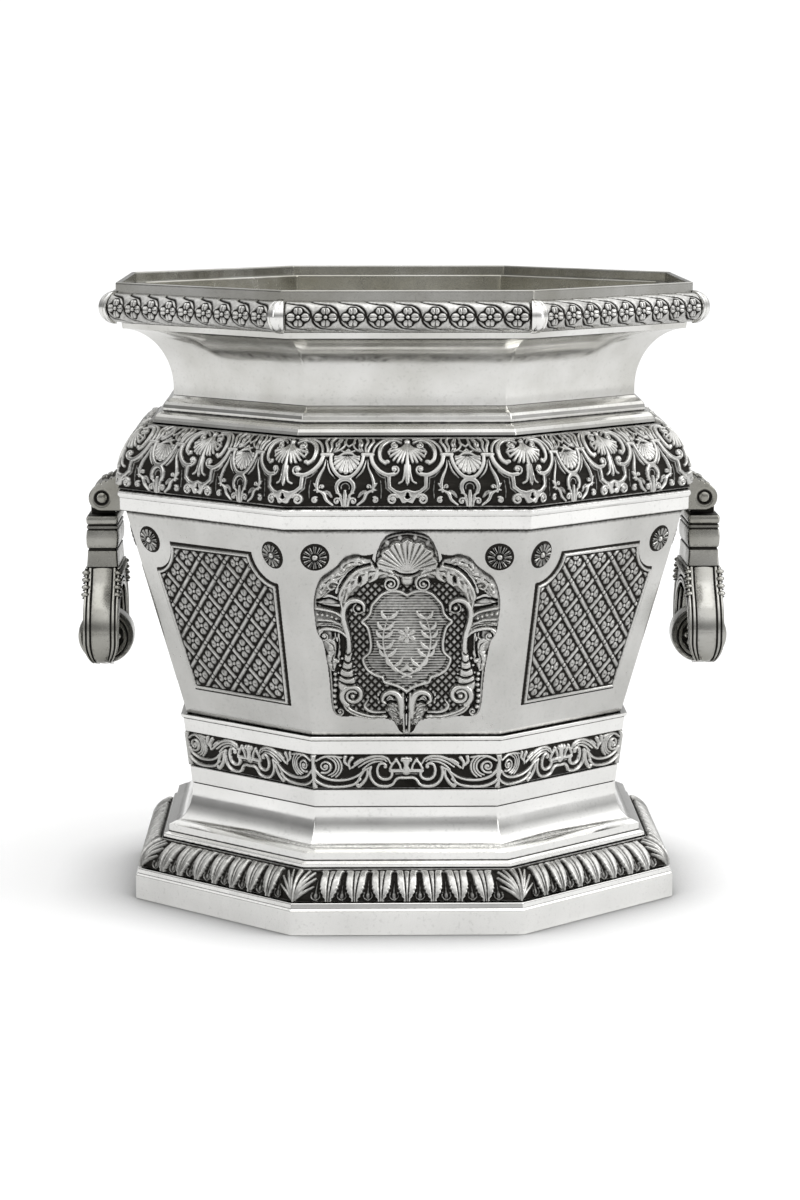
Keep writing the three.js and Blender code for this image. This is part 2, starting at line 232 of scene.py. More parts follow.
def thick(outer, sheet):
    """A closed profile of even thickness under an outer profile that climbs."""
    outer = np.array(outer, float)
    run = np.gradient(outer, axis=0)
    run /= np.linalg.norm(run, axis=1)[:, None]
    inner = outer + sheet * np.stack([-run[:, 1], run[:, 0]], axis=1)
    inner[0, 1], inner[-1, 1] = outer[0, 1], outer[-1, 1]
    return [tuple(p) for p in outer] + [tuple(p) for p in inner[::-1]]


def walked_along(path):
    """How far along a path each of its points lies."""
    return np.concatenate([[0], np.cumsum(np.hypot(*np.diff(path, axis=0).T))])


# ---------------------------------------------------------------- drawing in relief
def ruled(start, end, step):
    """Even marks from start to end, about a step apart."""
    return np.linspace(start, end, round((end - start) / step) + 1)


def curve(points, per_span=7, closed=False):
    """A smooth path through the points (a Catmull-Rom curve)."""
    p = np.asarray(points, float)
    p = np.vstack([p[-1], p, p[0], p[1]]) if closed else np.vstack([2 * p[0] - p[1], p, 2 * p[-1] - p[-2]])
    t = np.linspace(0, 1, per_span, endpoint=False)[:, None]
    spans = [
        0.5 * (2 * b + (c - a) * t + (2 * a - 5 * b + 4 * c - d) * t ** 2 + (3 * b - a - 3 * c + d) * t ** 3)
        for a, b, c, d in zip(p[:-3], p[1:-2], p[2:-1], p[3:])
    ]
    path = np.vstack(spans)
    return path if closed else np.vstack([path, p[-2]])


def arc_path(centre, radius, start, end, squash=1.0):
    """Part of a circle or an upright ellipse, from one angle to another in degrees."""
    count = max(6, int(abs(end - start) / 12))
    t = np.radians(np.linspace(start, end, count))
    return np.stack([centre[0] + radius * np.cos(t), centre[1] + radius * squash * np.sin(t)], axis=1)


def spiral(centre, outer, inner, start, turns):
    """A volute that winds in from its outer radius; positive turns go anticlockwise."""
    t = np.linspace(0, 1, max(8, int(abs(turns) * 22)))
    radius = outer + (inner - outer) * t ** 0.8
    angle = radians(start) + 2 * pi * turns * t
    return np.stack([centre[0] + radius * np.cos(angle), centre[1] + radius * np.sin(angle)], axis=1)


class Relief:
    """A height map in millimetres over a flat patch, built up from strokes, domes and cuts."""

    def __init__(self, x, y, ground=0.0, swell=1.0):
        self.x, self.y, self.swell = x, y, swell
        self.height = np.full((len(y), len(x)), float(ground))

    def window(self, low, high):
        """The part of the map inside a rectangle: where it is, and its x and y grids."""
        i = np.searchsorted(self.x, [low[0], high[0]])
        j = np.searchsorted(self.y, [low[1], high[1]])
        area = np.s_[j[0]:j[1], i[0]:i[1]]
        return area, *np.meshgrid(self.x[i[0]:i[1]], self.y[j[0]:j[1]])

    def trace(self, path, reach):
        """How each point near a path lies to it: its distance, how far along (0 to 1) and its side."""
        path = np.asarray(path, float)
        area, x, y = self.window(path.min(0) - reach, path.max(0) + reach)
        distance = np.full(x.shape, 1e9)
        along, hand = np.zeros(x.shape), np.ones(x.shape)
        steps = np.diff(path, axis=0)
        lengths = np.hypot(*steps.T)
        walked = np.concatenate([[0], np.cumsum(lengths)])
        for start, step, length, before in zip(path, steps, lengths, walked):
            if length == 0:
                continue
            dx, dy = x - start[0], y - start[1]
            t = np.clip((dx * step[0] + dy * step[1]) / length ** 2, 0, 1)
            away = np.hypot(dx - t * step[0], dy - t * step[1])
            closer = away < distance
            distance = np.where(closer, away, distance)
            along = np.where(closer, (before + t * length) / walked[-1], along)
            hand = np.where(closer, np.sign(step[0] * dy - step[1] * dx), hand)
        return area, distance, along, hand

    def raise_to(self, area, inside, height):
        """Lifts the map to a height inside a shape, wherever it is lower."""
        self.height[area] = np.where(inside, np.maximum(self.height[area], height), self.height[area])

    def strap(self, path, width, height, form="round", sink=0.0, groove=0.0):
        """A band along a path. width may be a list of widths along it, and height too."""
        widths = np.atleast_1d(np.asarray(width, float)) * self.swell / 2
        heights = np.atleast_1d(np.asarray(height, float))
        area, distance, along, _ = self.trace(path, widths.max())
        half = np.interp(along, np.linspace(0, 1, len(widths)), widths)
        crown = np.interp(along, np.linspace(0, 1, len(heights)), heights)
        q = distance / np.maximum(half, 1e-6)
        if form == "flat":
            shape = 1 - np.clip(q, 0, 1) ** 6
        elif form == "hollow":
            shape = (1 - np.clip(q, 0, 1) ** 8) * (0.72 + 0.28 * np.clip(q, 0, 1) ** 2)
        else:
            shape = np.sqrt(np.clip(1 - q ** 2, 0, 1))
        if groove:
            shape = shape * (1 - groove * np.exp(-(q / 0.22) ** 2))
        self.raise_to(area, q < 1, sink + (crown - sink) * shape)

    def stroke(self, points, width, height, **form):
        """A band along a smooth curve through the points."""
        self.strap(curve(points), width, height, **form)

    def dome(self, centre, across, up, height, turn=0.0, sink=0.0, power=0.5):
        """A rounded boss with the given half sizes, turned by some degrees."""
        reach = max(across, up)
        area, x, y = self.window(np.subtract(centre, reach), np.add(centre, reach))
        c, s = cos(radians(turn)), sin(radians(turn))
        dx, dy = x - centre[0], y - centre[1]
        q = ((dx * c + dy * s) / across) ** 2 + ((dy * c - dx * s) / up) ** 2
        self.raise_to(area, q < 1, sink + (height - sink) * np.clip(1 - q, 0, 1) ** power)

    def leaf(self, points, widths, height, lobes, depth=0.35, veins=0.3, sink=0.0):
        """An acanthus leaf: a curved midrib through the points, a lobed edge, veins that sweep forward."""
        widths = np.asarray(widths, float) * self.swell / 2
        area, distance, along, hand = self.trace(curve(points), widths.max())
        half = np.interp(along, np.linspace(0, 1, len(widths)), widths)
        beat = along * lobes
        half = half * (1 - depth * (1 - np.abs(np.sin(pi * beat))) ** 1.5)
        q = distance / np.maximum(half, 1e-6)
        body = np.clip(1 - q ** 2, 0, 1) ** 0.6
        vein = 1 - veins * (0.5 + 0.5 * np.cos(2 * pi * (beat - 0.55 * q + 0.1 * hand)))
        rib = 1 - 0.45 * np.exp(-(distance / 0.22) ** 2)
        self.raise_to(area, q < 1, sink + (height - sink) * body * vein * rib)

    def spray(self, pivot, tips, width, height, bow=0.0, sink=0.0):
        """Blades that spread from one point to each tip, widest near the tip."""
        pivot = np.asarray(pivot, float)
        for tip in tips:
            tip = np.asarray(tip, float)
            middle = (pivot + tip) / 2 + bow * np.array([-(tip - pivot)[1], (tip - pivot)[0]])
            self.stroke([pivot, middle, tip], [0.35 * width, 0.8 * width, width, 0.7 * width],
                        [0.6 * height, height, height], sink=sink)

    def fan(self, pivot, facing, spread, reach, side_reach, lobes, height, groove=0.3, sink=0.0):
        """A scallop shell: lobes that fill a fan about a pivot, each with a groove down its middle."""
        longest = max(reach, side_reach)
        area, x, y = self.window(np.subtract(pivot, longest), np.add(pivot, longest))
        dx, dy = x - pivot[0], y - pivot[1]
        away = np.hypot(dx, dy)
        turn = (np.degrees(np.arctan2(dy, dx)) - facing + 180) % 360 - 180
        inside = np.abs(turn) < spread
        lobe = turn / (2 * spread / lobes)
        offset = lobe - np.round(lobe) if lobes % 2 else lobe - np.floor(lobe) - 0.5
        radius = reach + (side_reach - reach) * np.abs(turn / spread) ** 1.4
        radius = radius * (1 - 0.3 * offset ** 2)
        ridge = np.sqrt(np.clip(1 - (1.92 * offset) ** 2, 0, 1))
        line = 1 - groove * np.exp(-(offset * radians(2 * spread / lobes) * away / 0.3) ** 2)
        swell = 0.55 + 0.45 * np.clip(away / radius, 0, 1)
        lip = np.clip((radius - away) / 0.6, 0, 1) ** 0.5
        shape = (0.3 + 0.7 * ridge) * line * swell * lip
        self.raise_to(area, inside & (away < radius), sink + (height - sink) * shape)

    def volute(self, centre, outer, width, height, start, turns, eye=0.0):
        """A scrolled end that winds in to a round eye."""
        path = spiral(centre, outer - width / 2, 0.25 * outer, start, turns)
        self.strap(path, [width, 0.7 * width], height)
        if eye:
            self.dome(centre, eye, eye, height * 1.08)

    def cut(self, path, width, depth):
        """A groove that follows a path."""
        area, distance, _, _ = self.trace(path, 1.5 * width)
        self.height[area] -= depth * np.exp(-(distance / (0.5 * width)) ** 2)

    def beads(self, path, count, radius, height):
        """Round beads at even steps along a path."""
        path = np.asarray(path, float)
        walked = walked_along(path)
        for place_at in (np.arange(count) + 0.5) / count * walked[-1]:
            centre = [np.interp(place_at, walked, path[:, axis]) for axis in (0, 1)]
            self.dome(centre, radius, radius, height)


def mirrored(height):
    """A map with its mirror image added at its left edge."""
    return np.hstack([height[:, :0:-1], height])


def blurred(height, radius):
    """A map smoothed by three box averages."""
    for axis in (0, 1):
        for _ in range(3):
            width = 2 * radius + 1
            pad = [(radius + 1, radius) if a == axis else (0, 0) for a in (0, 1)]
            total = np.cumsum(np.pad(height, pad, mode="edge"), axis=axis)
            ahead = np.take(total, range(width, total.shape[axis]), axis=axis)
            behind = np.take(total, range(0, total.shape[axis] - width), axis=axis)
            height = (ahead - behind) / width
    return height


def oxide_of(height, step, ground, crown):
    """Where black oxide stays: deep in the ground and in the narrow hollows between raised work."""
    deep = 1 - np.clip((height - ground) / (0.62 * (crown - ground)), 0, 1)
    hollow = np.clip((blurred(height, max(1, round(0.5 / step))) - height) / (0.28 * (crown - ground)), 0, 1)
    return np.clip(0.85 * deep ** 1.3 + 0.75 * hollow, 0, 1)


# ---------------------------------------------------------------- patterns
def strapwork(step):
    """The band round the shoulder: shells in strapwork between palmettes, along one whole side.

    The drawing is a quarter of a side, from a palmette at x = 0 to a shell at x = quarter.
    """
    quarter, tall = 21.95, 28.3
    r = Relief(ruled(0, quarter, step), ruled(0, tall, step), swell=1.22)

    # palmette: bead, pendant ribs and a husk drop with two small curls
    for x, y, pull in ((1.9, 16.4, 0.4), (3.5, 16.4, 1.4), (5.0, 17.2, 2.4), (6.1, 18.6, 3.2),
                       (6.9, 20.4, 4.0)):
        r.stroke([(0.4, 25.2), (0.4 + 0.45 * pull, 22.2), (x, y)], [0.5, 0.9, 1.3, 1.1], [0.5, 0.95, 1.05])
    r.stroke([(0, 24.6), (0, 16), (0, 9.0)], [0.9, 1.1, 1.5, 2.0, 1.5], [0.9, 0.95, 1.0, 1.0])
    r.stroke([(0.9, 15.2), (1.1, 12.0), (1.7, 9.6), (3.0, 8.7)], [0.7, 0.9, 0.9], 0.85)
    r.stroke([(0, 9.6), (0, 8.0)], [1.1, 0.5], 0.9)
    r.dome((0, 25.4), 1.35, 1.35, 1.15)

    # the large C-scroll beside it, with an inner curl and a serrated frill
    r.stroke([(2.2, 26.6), (5.5, 27.3), (9.4, 26.0), (11.9, 23.0), (12.7, 19.6), (12.6, 17.6)],
             [0.6, 1.1, 1.2, 0.9], 0.8)
    r.stroke([(2.4, 24.8), (4.4, 26.0), (7.2, 25.7), (9.5, 23.4), (10.2, 20.2), (9.6, 17.4), (8.0, 16.1)],
             [0.9, 1.4, 1.7, 1.7, 1.5, 1.5], 1.0, groove=0.25)
    r.dome((7.3, 16.6), 1.2, 1.0, 1.0)
    r.volute((4.6, 23.2), 2.0, 0.9, 1.0, 80, -1.2, 0.75)
    r.spray((7.2, 21.0), [(5.9, 22.1), (5.4, 20.4), (6.4, 18.9)], 0.8, 0.75)

    # the flat strap: ball volute, long curve, step over the top and down round the shell
    outer = curve([(4.8, 11.9), (7.4, 11.7), (10.2, 13.2), (12.3, 15.8), (13.2, 18.6)])
    inner = curve([(16.0, 18.9), (16.5, 15.9), (18.0, 13.0), (20.0, 11.1), (quarter, 10.7)])
    r.strap(outer, [1.4, 1.6, 1.5], 1.0, "flat")
    r.strap([(12.6, 19.3), (16.4, 19.3)], 1.3, 1.05, "flat")
    r.strap(inner, 1.3, 1.0, "flat")
    r.volute((4.6, 13.6), 2.3, 0.85, 1.05, 275, -1.05, 1.1)
    r.strap([(6.6, 11.4), (6.4, 7.3), (4.4, 5.7), (2.4, 5.2)], 1.3, 0.95, "flat")
    r.strap([(7.9, 10.9), (7.5, 6.9), (5.4, 5.0)], 0.5, 0.45, "flat")
    r.stroke([(11.6, 13.2), (9.6, 11.2), (7.8, 10.6)], 0.5, 0.45)

    # pierced bracket at the foot of the palmette, and its scroll
    r.strap([(0, 5.4), (2.4, 4.6), (1.4, 2.4), (0, 2.9)], [2.2, 2.4, 1.8, 1.6], 1.0, "flat")
    r.strap([(2.2, 4.4), (3.4, 4.9)], 1.1, 1.0, "flat")
    r.volute((5.3, 2.9), 2.5, 1.1, 1.0, 150, -1.35, 0.7)
    r.cut([(0, 3.6), (0, 4.8)], 1.0, 1.1)

    # shell: nine lobes hanging from the pediment inside the strap
    r.fan((quarter, 19.1), -90, 80, 7.5, 4.9, 9, 1.1, 0.2, sink=0.05)
    r.stroke([(17.6, 18.2), (18.9, 18.6), (20.4, 19.7), (quarter, 20.2)], [0.9, 0.8, 1.2], 1.05)
    r.dome((17.7, 18.4), 0.75, 0.75, 1.05)
    r.stroke([(19.5, 21.0), (20.8, 20.6), (quarter, 21.6)], [0.5, 0.7, 1.0], 0.8)

    # leafage over the strap
    r.stroke([(14.6, 19.6), (14.2, 22.4), (12.9, 25.2), (13.4, 27.4)], [1.0, 1.3, 1.2, 0.8], [0.8, 1.0, 0.9])
    r.stroke([(15.2, 19.8), (15.6, 22.6), (15.0, 25.4), (16.0, 27.8)], [0.8, 1.0, 1.3, 0.8], [0.7, 0.9, 0.9])
    r.leaf([(16.2, 20.4), (17.6, 22.2), (17.6, 24.8), (18.8, 27.4)], [0.9, 2.0, 2.2, 1.1], 0.95, 3)
    r.stroke([(17.2, 20.6), (19.0, 21.6), (20.2, 23.4), (19.9, 25.4)], [0.6, 0.9, 0.9, 0.5], 0.8)
    r.stroke([(20.2, 27.9), (20.6, 24.6), (quarter, 23.0)], [1.1, 0.7, 0.8], 0.7)
    r.strap([(0, 28.3), (quarter, 28.3)], 1.1, 0.55, "flat")

    # horseshoe under the shell, with a tuft of acanthus
    r.strap(arc_path((quarter, 7.2), 3.0, 90, 215), [1.6, 1.5, 1.2], 1.0, "flat")
    r.strap(arc_path((quarter, 7.2), 1.5, 90, 200), 0.5, 0.5)
    r.stroke([(quarter, 6.0), (quarter, 3.4), (quarter - 0.3, 0.4)], [1.0, 1.7, 1.3, 0.6], 0.95)
    r.stroke([(21.0, 0.6), (20.6, 3.0), (20.2, 4.6), (18.8, 5.2)], [0.8, 1.2, 1.0, 0.5], 0.85)
    r.volute((19.1, 2.3), 1.7, 0.8, 0.9, 20, 1.1, 0.55)

    # side spray between the straps
    r.stroke([(14.3, 17.6), (14.0, 14.5), (12.6, 11.2), (11.9, 8.4), (12.3, 5.6)],
             [0.5, 0.8, 1.2, 1.3, 0.9], [0.6, 0.9, 0.95])
    r.stroke([(14.9, 17.2), (15.5, 14.6), (16.4, 12.6), (18.2, 10.6)], [0.4, 0.8, 0.8, 0.4], 0.75)
    r.volute((13.8, 7.4), 1.25, 0.7, 0.9, 200, -0.95, 0.4)
    r.spray((12.2, 6.4), [(10.9, 8.6), (11.0, 6.2)], 0.8, 0.8)
    r.stroke([(12.4, 6.2), (14.4, 5.0), (15.4, 2.8), (17.6, 1.0)], [0.8, 1.4, 1.2, 0.8], 0.95)
    r.leaf([(13.4, 5.6), (15.8, 5.4), (17.4, 3.6)], [0.6, 1.6, 0.8], 0.85, 2)
    r.volute((11.4, 2.7), 1.6, 0.85, 0.95, 60, 1.15, 0.55)
    r.stroke([(9.6, 9.6), (9.2, 6.2), (9.4, 3.4)], [0.3, 0.5, 0.4], 0.4)
    r.strap([(0, 0.0), (quarter, 0.0)], 1.0, 0.45, "flat")

    half = np.hstack([r.height, r.height[:, -2::-1]])
    return mirrored(half)


def frieze(step):
    """The scroll frieze round the lower body: double strapwork, acanthus and end volutes, one whole side."""
    half, tall = 33.7, 12.8
    r = Relief(ruled(0, half, step), ruled(0, tall, step), swell=1.22)

    # central vase on a bar, with a loop at each side
    r.strap([(0, 6.8), (0, 8.6), (0, 10.4)], [3.2, 1.6, 2.6], 0.95)
    r.dome((0, 10.7), 1.3, 1.5, 1.1)
    r.dome((1.35, 10.9), 0.95, 1.1, 1.0)
    r.strap([(0, 6.8), (5.8, 6.8)], 1.15, 0.95, "flat")
    r.stroke([(1.9, 7.3), (2.5, 9.2), (3.7, 10.6), (5.0, 9.2), (5.9, 7.6)], 1.0, 0.9)
    r.dome((3.7, 10.9), 0.85, 0.85, 0.95)

    # inner and outer straps of the double C-scroll
    r.stroke([(5.4, 6.8), (5.2, 5.3), (6.2, 3.9), (8.3, 3.6), (10.0, 4.7), (10.5, 7.0), (9.8, 9.1),
              (8.3, 9.6), (7.4, 8.9)], 1.15, 1.0)
    r.dome((7.6, 8.3), 0.9, 0.9, 1.0)
    r.stroke([(0, 4.1), (2.6, 4.1), (3.9, 3.2), (5.1, 1.6), (7.6, 0.9), (10.5, 1.4), (12.5, 3.3),
              (13.2, 6.0), (12.8, 8.2)], 1.15, 1.0)
    r.strap([(0, 5.5), (4.0, 5.5)], 0.4, 0.35)

    # acanthus that sweeps off the top of the scroll
    sweeps = (
        ([(5.7, 9.6), (7.0, 11.5), (10.4, 12.4), (14.4, 11.4), (17.6, 9.5), (19.6, 8.0)], 1.15),
        ([(7.0, 10.3), (8.4, 11.2), (11.2, 11.3), (14.4, 10.1), (17.2, 8.3)], 0.95),
        ([(8.7, 10.5), (11.4, 10.2), (13.6, 9.2), (15.8, 7.4)], 0.9),
        ([(14.6, 11.2), (16.6, 11.0), (18.8, 9.6)], 0.9),
    )
    for points, width in sweeps:
        r.stroke(points, [0.6 * width, width, width, 0.8 * width], [0.8, 1.0, 1.0])
    r.stroke([(14.0, 7.4), (14.3, 4.6), (15.8, 2.2), (17.4, 0.9)], [0.8, 1.2, 1.3, 1.4], [0.8, 0.95])
    r.stroke([(14.9, 7.0), (16.6, 4.8), (18.1, 2.4)], [0.5, 0.9, 0.9], 0.85)
    r.dome((17.7, 1.3), 0.95, 0.95, 1.0)

    # long double strap under the end volute
    r.stroke([(13.0, 8.2), (15.2, 7.0), (18.2, 4.7), (22.0, 3.4), (26.5, 3.3), (30.4, 4.5), (32.6, 6.6)],
             [0.9, 1.15], 1.0)
    r.stroke([(16.8, 3.5), (19.4, 1.6), (23.5, 0.8), (28.2, 0.9), (31.5, 2.1), (33.6, 3.8)], 1.1, 1.0)
    r.volute((29.3, 8.5), 3.1, 1.0, 1.0, 300, -1.45, 0.9)
    for radius, start, end in ((4.0, 105, 255), (5.0, 118, 245), (6.0, 132, 232)):
        r.strap(arc_path((29.3, 8.5), radius, start, end, 0.86), [0.5, 0.85, 0.7], 0.85)
    r.stroke([(20.4, 7.6), (20.7, 9.8), (19.6, 11.6)], [0.8, 1.1, 1.4], 0.95)
    r.stroke([(21.0, 8.8), (22.2, 10.2), (22.0, 12.0)], [0.8, 1.1, 1.3], 0.95)
    r.stroke([(23.2, 11.8), (26.4, 12.3), (29.8, 12.0), (32.4, 10.6)], [0.6, 1.0, 0.9], 0.9)
    r.strap([(half, 0), (half, 3.6), (half, 6.4), (half, 9.4), (half, tall)], [2.2, 1.3, 2.4, 1.3, 2.2], 0.95)
    return mirrored(r.height)


def leaf_border(step):
    """Upright water leaves with buds in the niches between them, and a spread leaf on each mitre."""
    half, tall, pitch = 40.8, 14.7, 9.37
    r = Relief(ruled(-half, half, step), ruled(0, tall, step))
    across, up = np.meshgrid(r.x, r.y)
    last = 3.5 * pitch
    v = np.abs((across + pitch / 2) % pitch - pitch / 2)
    edge = np.interp(up, [0, 1, 2.5, 4, 6, 9, 11, 12.0, 12.8], [0.9, 1.4, 2.4, 3.3, 3.85, 4.0, 3.9, 4.3, 5.2])
    edge = edge + np.where(up < 6, 0.22 * np.sin(2 * pi * up / 1.5), 0)
    rib = np.interp(up, [0, 3, 8, 12.5], [0.3, 0.4, 0.7, 1.15])
    q = np.clip((v - rib) / np.maximum(edge - rib, 0.1), 0, 1)
    lobe = 1.25 * np.clip(1 - (2 * q - 0.9) ** 4, 0, 1) ** 0.5 * (1 - 0.35 * np.exp(-((v - rib) / 0.28) ** 2))
    midrib = np.where(v < rib, 1.05 * np.sqrt(np.clip(1 - (v / rib) ** 4, 0, 1)), 0)
    leaf = np.where(v < edge, np.maximum(lobe, midrib), 0)
    leaf *= 1 - np.clip((up - 12.4) / 0.9, 0, 1)
    r.height = np.where(np.abs(across) < last, np.maximum(r.height, leaf), r.height)
    for gap in np.arange(-3.5, 4) * pitch:
        niche = ((-1.35, 3.4), (-1.5, 1.7), (0, 0.6), (1.5, 1.7), (1.35, 3.4))
        r.stroke([(gap + x, y) for x, y in niche], 0.55, 0.75)
        r.dome((gap, 2.1), 0.85, 1.5, 0.6)
        r.strap([(gap, 3.6), (gap, 8.6)], [0.9, 0.5, 0.3], 0.4)
    for hand in (-1, 1):
        for x, y, width in ((33.9, 5.6, 1.5), (33.8, 9.0, 1.9), (34.9, 11.9, 2.0), (37.2, 13.0, 1.9)):
            blade = np.array([(half - 0.5, 0.5), (0.35 * x + 0.65 * half - 0.6, 0.55 * y), (x, y)])
            r.stroke(blade * (hand, 1), [0.8, width, width, 0.7 * width], [0.7, 1.15, 1.2, 0.9])
        r.strap([(hand * half, 0), (hand * half, 7), (hand * half, 13)], [1.0, 1.8, 2.8], 1.25)
    r.strap([(-half, 0), (half, 0)], 0.7, 0.5, "flat")
    r.strap([(-half, tall), (half, tall)], 1.5, 0.7, "flat")
    return r.height


def flower_strip(step):
    """Nine flowers along a half-round, with a ribbon that winds between them, for one side."""
    half, pitch, reach = STRIP_HALF, 9.47, STRIP_RADIUS * pi / 2
    r = Relief(ruled(-half, half, step), ruled(-reach, reach, step), 0.72)
    for flower in range(-5, 6):
        middle = flower * pitch
        ribbon = [(-5.3, reach), (-4.1, 6.7), (-1.2, 5.5), (1.9, 4.7), (4.0, 2.5), (4.74, 0),
                  (5.5, -2.5), (7.6, -4.7), (10.7, -5.5), (13.6, -6.7), (14.8, -reach)]
        r.cut(curve([(middle + x, y) for x, y in ribbon]), 0.85, 0.75)
    for flower in range(-4, 5):
        middle = flower * pitch
        area, across, up = r.window((middle - 5, -5), (middle + 5, 5))
        away = np.hypot(across - middle, up)
        petals = 4.15 + 0.45 * np.cos(4 * np.arctan2(up, across - middle))
        r.height[area] -= 0.72 * np.clip((petals - away) / 0.5, 0, 1) * (r.height[area] > 0)
        for turn in range(0, 360, 90):
            c, s = cos(radians(turn)), sin(radians(turn))
            r.dome((middle + 2.5 * c, 2.45 * s), 1.6, 1.75, 0.95, turn)
            for beside in (0.62, -0.62):
                r.dome((middle + 3.0 * c - beside * s, 2.95 * s + beside * c), 0.85, 0.95, 1.05, turn)
            r.cut([(middle + 1.1 * c, 1.1 * s), (middle + 3.4 * c, 3.3 * s)], 0.45, 0.4)
        r.dome((middle, 0), 0.85, 0.85, 1.1)
    for end in (-half, half):
        r.cut([(end, -reach), (end, reach)], 0.8, 0.6)
    return np.maximum(r.height, 0)


def panel_edge(across, up):
    """How far a point of the leaning wall lies inside the diaper panel's outline, in mm."""
    foot, foot_half, notch = 10.2, 25.6, 10.8
    rise, run = BOSS_UP - notch - foot, BOSS_ACROSS - foot_half
    side = np.array([rise, -run]) / hypot(rise, run)
    flank = -((np.abs(across) - foot_half) * side[0] + (up - foot) * side[1])
    corner = np.hypot(np.abs(across) - BOSS_ACROSS, up - BOSS_UP) - notch
    return np.minimum.reduce([up - foot, BOSS_UP + 0.4 - up, flank, corner])


def diaper(step):
    """A trellis of rods and beads with a four-petalled flower in each lozenge.

    It gives the map's x and y, its height, and how far each point lies inside the panel's edge.
    """
    pitch, datum = 6.75, 37.6
    x, y = ruled(-33, 33, step), ruled(9.6, 70.5, step)
    across, up = np.meshgrid(x, y)
    p, q = (across + up - datum) / (2 * pitch), (across - up + datum) / (2 * pitch)
    dp, dq = p - np.round(p), q - np.round(q)
    dx, dy = (dp + dq) * pitch, (dp - dq) * pitch
    root = 2 ** 0.5
    rod = (0.5 - np.maximum(np.abs(dp), np.abs(dq))) * pitch * root
    crossing = np.hypot((0.5 - np.abs(dp)), (0.5 - np.abs(dq))) * pitch * root
    height = 0.85 * np.sqrt(np.clip(1 - (rod / 0.9) ** 2, 0, 1)) * np.clip((crossing - 1.05) / 0.5, 0, 1)
    height = np.maximum(height, 0.95 * np.sqrt(np.clip(1 - (crossing / 0.95) ** 2, 0, 1)))
    for turn in range(4):
        c, s = cos(turn * pi / 2), sin(turn * pi / 2)
        out, beside = dx * c + dy * s, dy * c - dx * s
        petal = ((out - 2.2) / 1.5) ** 2 + (beside / (1.1 + 0.28 * out)) ** 2
        dimple = 1 - 0.45 * np.exp(-(((out - 2.5) / 0.9) ** 2 + (beside / 0.4) ** 2))
        height = np.maximum(height, 0.9 * np.sqrt(np.clip(1 - petal, 0, 1)) * dimple)
    height = np.maximum(height, 0.95 * np.sqrt(np.clip(1 - (dx ** 2 + dy ** 2) / 0.62, 0, 1)))
    inside = panel_edge(across, up)
    height *= np.clip((inside - 2.5) / 0.4, 0, 1)
    fillet = np.sqrt(np.clip(1 - ((inside - 1.65) / 0.6) ** 4, 0, 1))
    height = np.maximum(height, np.where(np.abs(inside - 1.65) < 0.6, fillet, 0))
    return x, y, height, inside


def inside_of(path, across, up):
    """Whether each point lies inside a closed path."""
    inside = np.zeros(across.shape, bool)
    for (x0, y0), (x1, y1) in zip(path, np.roll(path, -1, axis=0)):
        if y0 != y1:
            meets = (up > min(y0, y1)) & (up <= max(y0, y1))
            inside ^= meets & (across < x0 + (up - y0) * (x1 - x0) / (y1 - y0))
    return inside


def closed_outline(half):
    """A closed smooth path from its right half, drawn from the top down."""
    half = curve(half, 5)
    left = half[::-1] * [-1, 1]
    return np.vstack([half, left])


CARTOUCHE_EDGE = [
    (0, 79.4), (3.4, 79.0), (6.9, 77.9), (9.3, 75.0), (10.9, 71.6), (14.0, 70.3), (18.8, 70.3),
    (22.6, 68.8), (24.9, 66.0), (27.6, 63.7), (30.5, 61.4), (32.2, 57.6), (33.1, 52.0), (32.7, 46.0),
    (32.0, 41.0), (30.0, 37.2), (29.0, 32.0), (28.2, 27.0), (27.5, 20.0), (27.1, 14.0), (26.2, 9.3),
    (23.6, 7.5), (19.0, 7.5), (13.0, 6.5), (7.4, 6.5), (4.4, 5.2), (2.6, 1.6), (0, 0.3),
]
SHIELD_EDGE = [
    (0, 55.6), (2.4, 56.9), (5.6, 57.2), (8.6, 56.1), (10.8, 53.8), (12.5, 51.4), (13.0, 48.9),
    (14.2, 47.0), (15.9, 45.4), (14.1, 43.4), (13.2, 40.0), (12.8, 36.2), (13.4, 33.2), (15.5, 31.0),
    (14.9, 28.4), (13.6, 26.2), (11.2, 24.6), (8.7, 23.6), (7.9, 21.8), (5.0, 20.9), (2.2, 19.7),
    (0, 18.0),
]


def masses(r, high):
    """The broad swellings that the leaves, scrolls and straps are cut into."""
    r.dome((0, 69.5), 11.2, 8.8, 0.62 * high, power=0.3)
    r.stroke([(4.6, 63.4), (10.0, 64.8), (15.0, 63.4), (19.0, 60.0), (22.0, 55.6), (22.6, 52.0)],
             [4.0, 5.6, 6.2, 5.6, 4.0, 2.4], 0.66 * high)
    r.stroke([(13.6, 67.8), (19.0, 67.6), (23.6, 64.4), (28.0, 60.6), (30.6, 56.4), (30.8, 52.6)],
             [2.4, 4.2, 4.6, 5.2, 4.2, 3.0], 0.6 * high)
    r.strap([(22.8, 47.0), (27.0, 47.2), (32.2, 47.4)], [4.0, 6.4, 6.6], 0.5 * high)
    r.stroke([(28.6, 38.6), (26.2, 34.0), (26.4, 28.0)], [4.6, 4.0, 3.0], 0.5 * high)
    r.strap([(20.8, 34.0), (21.0, 29.5), (21.4, 25.0), (21.2, 20.5)], [1.8, 3.0, 4.6, 6.0], 0.8 * high,
            "flat")
    r.dome((29.3, 40.2), 3.0, 2.8, 0.5 * high, power=0.3)
    r.dome((19.2, 16.8), 4.2, 4.2, 0.5 * high, power=0.3)
    r.stroke([(2.6, 14.4), (4.4, 11.0), (3.2, 6.4)], [3.4, 5.4, 2.6], 0.5 * high)


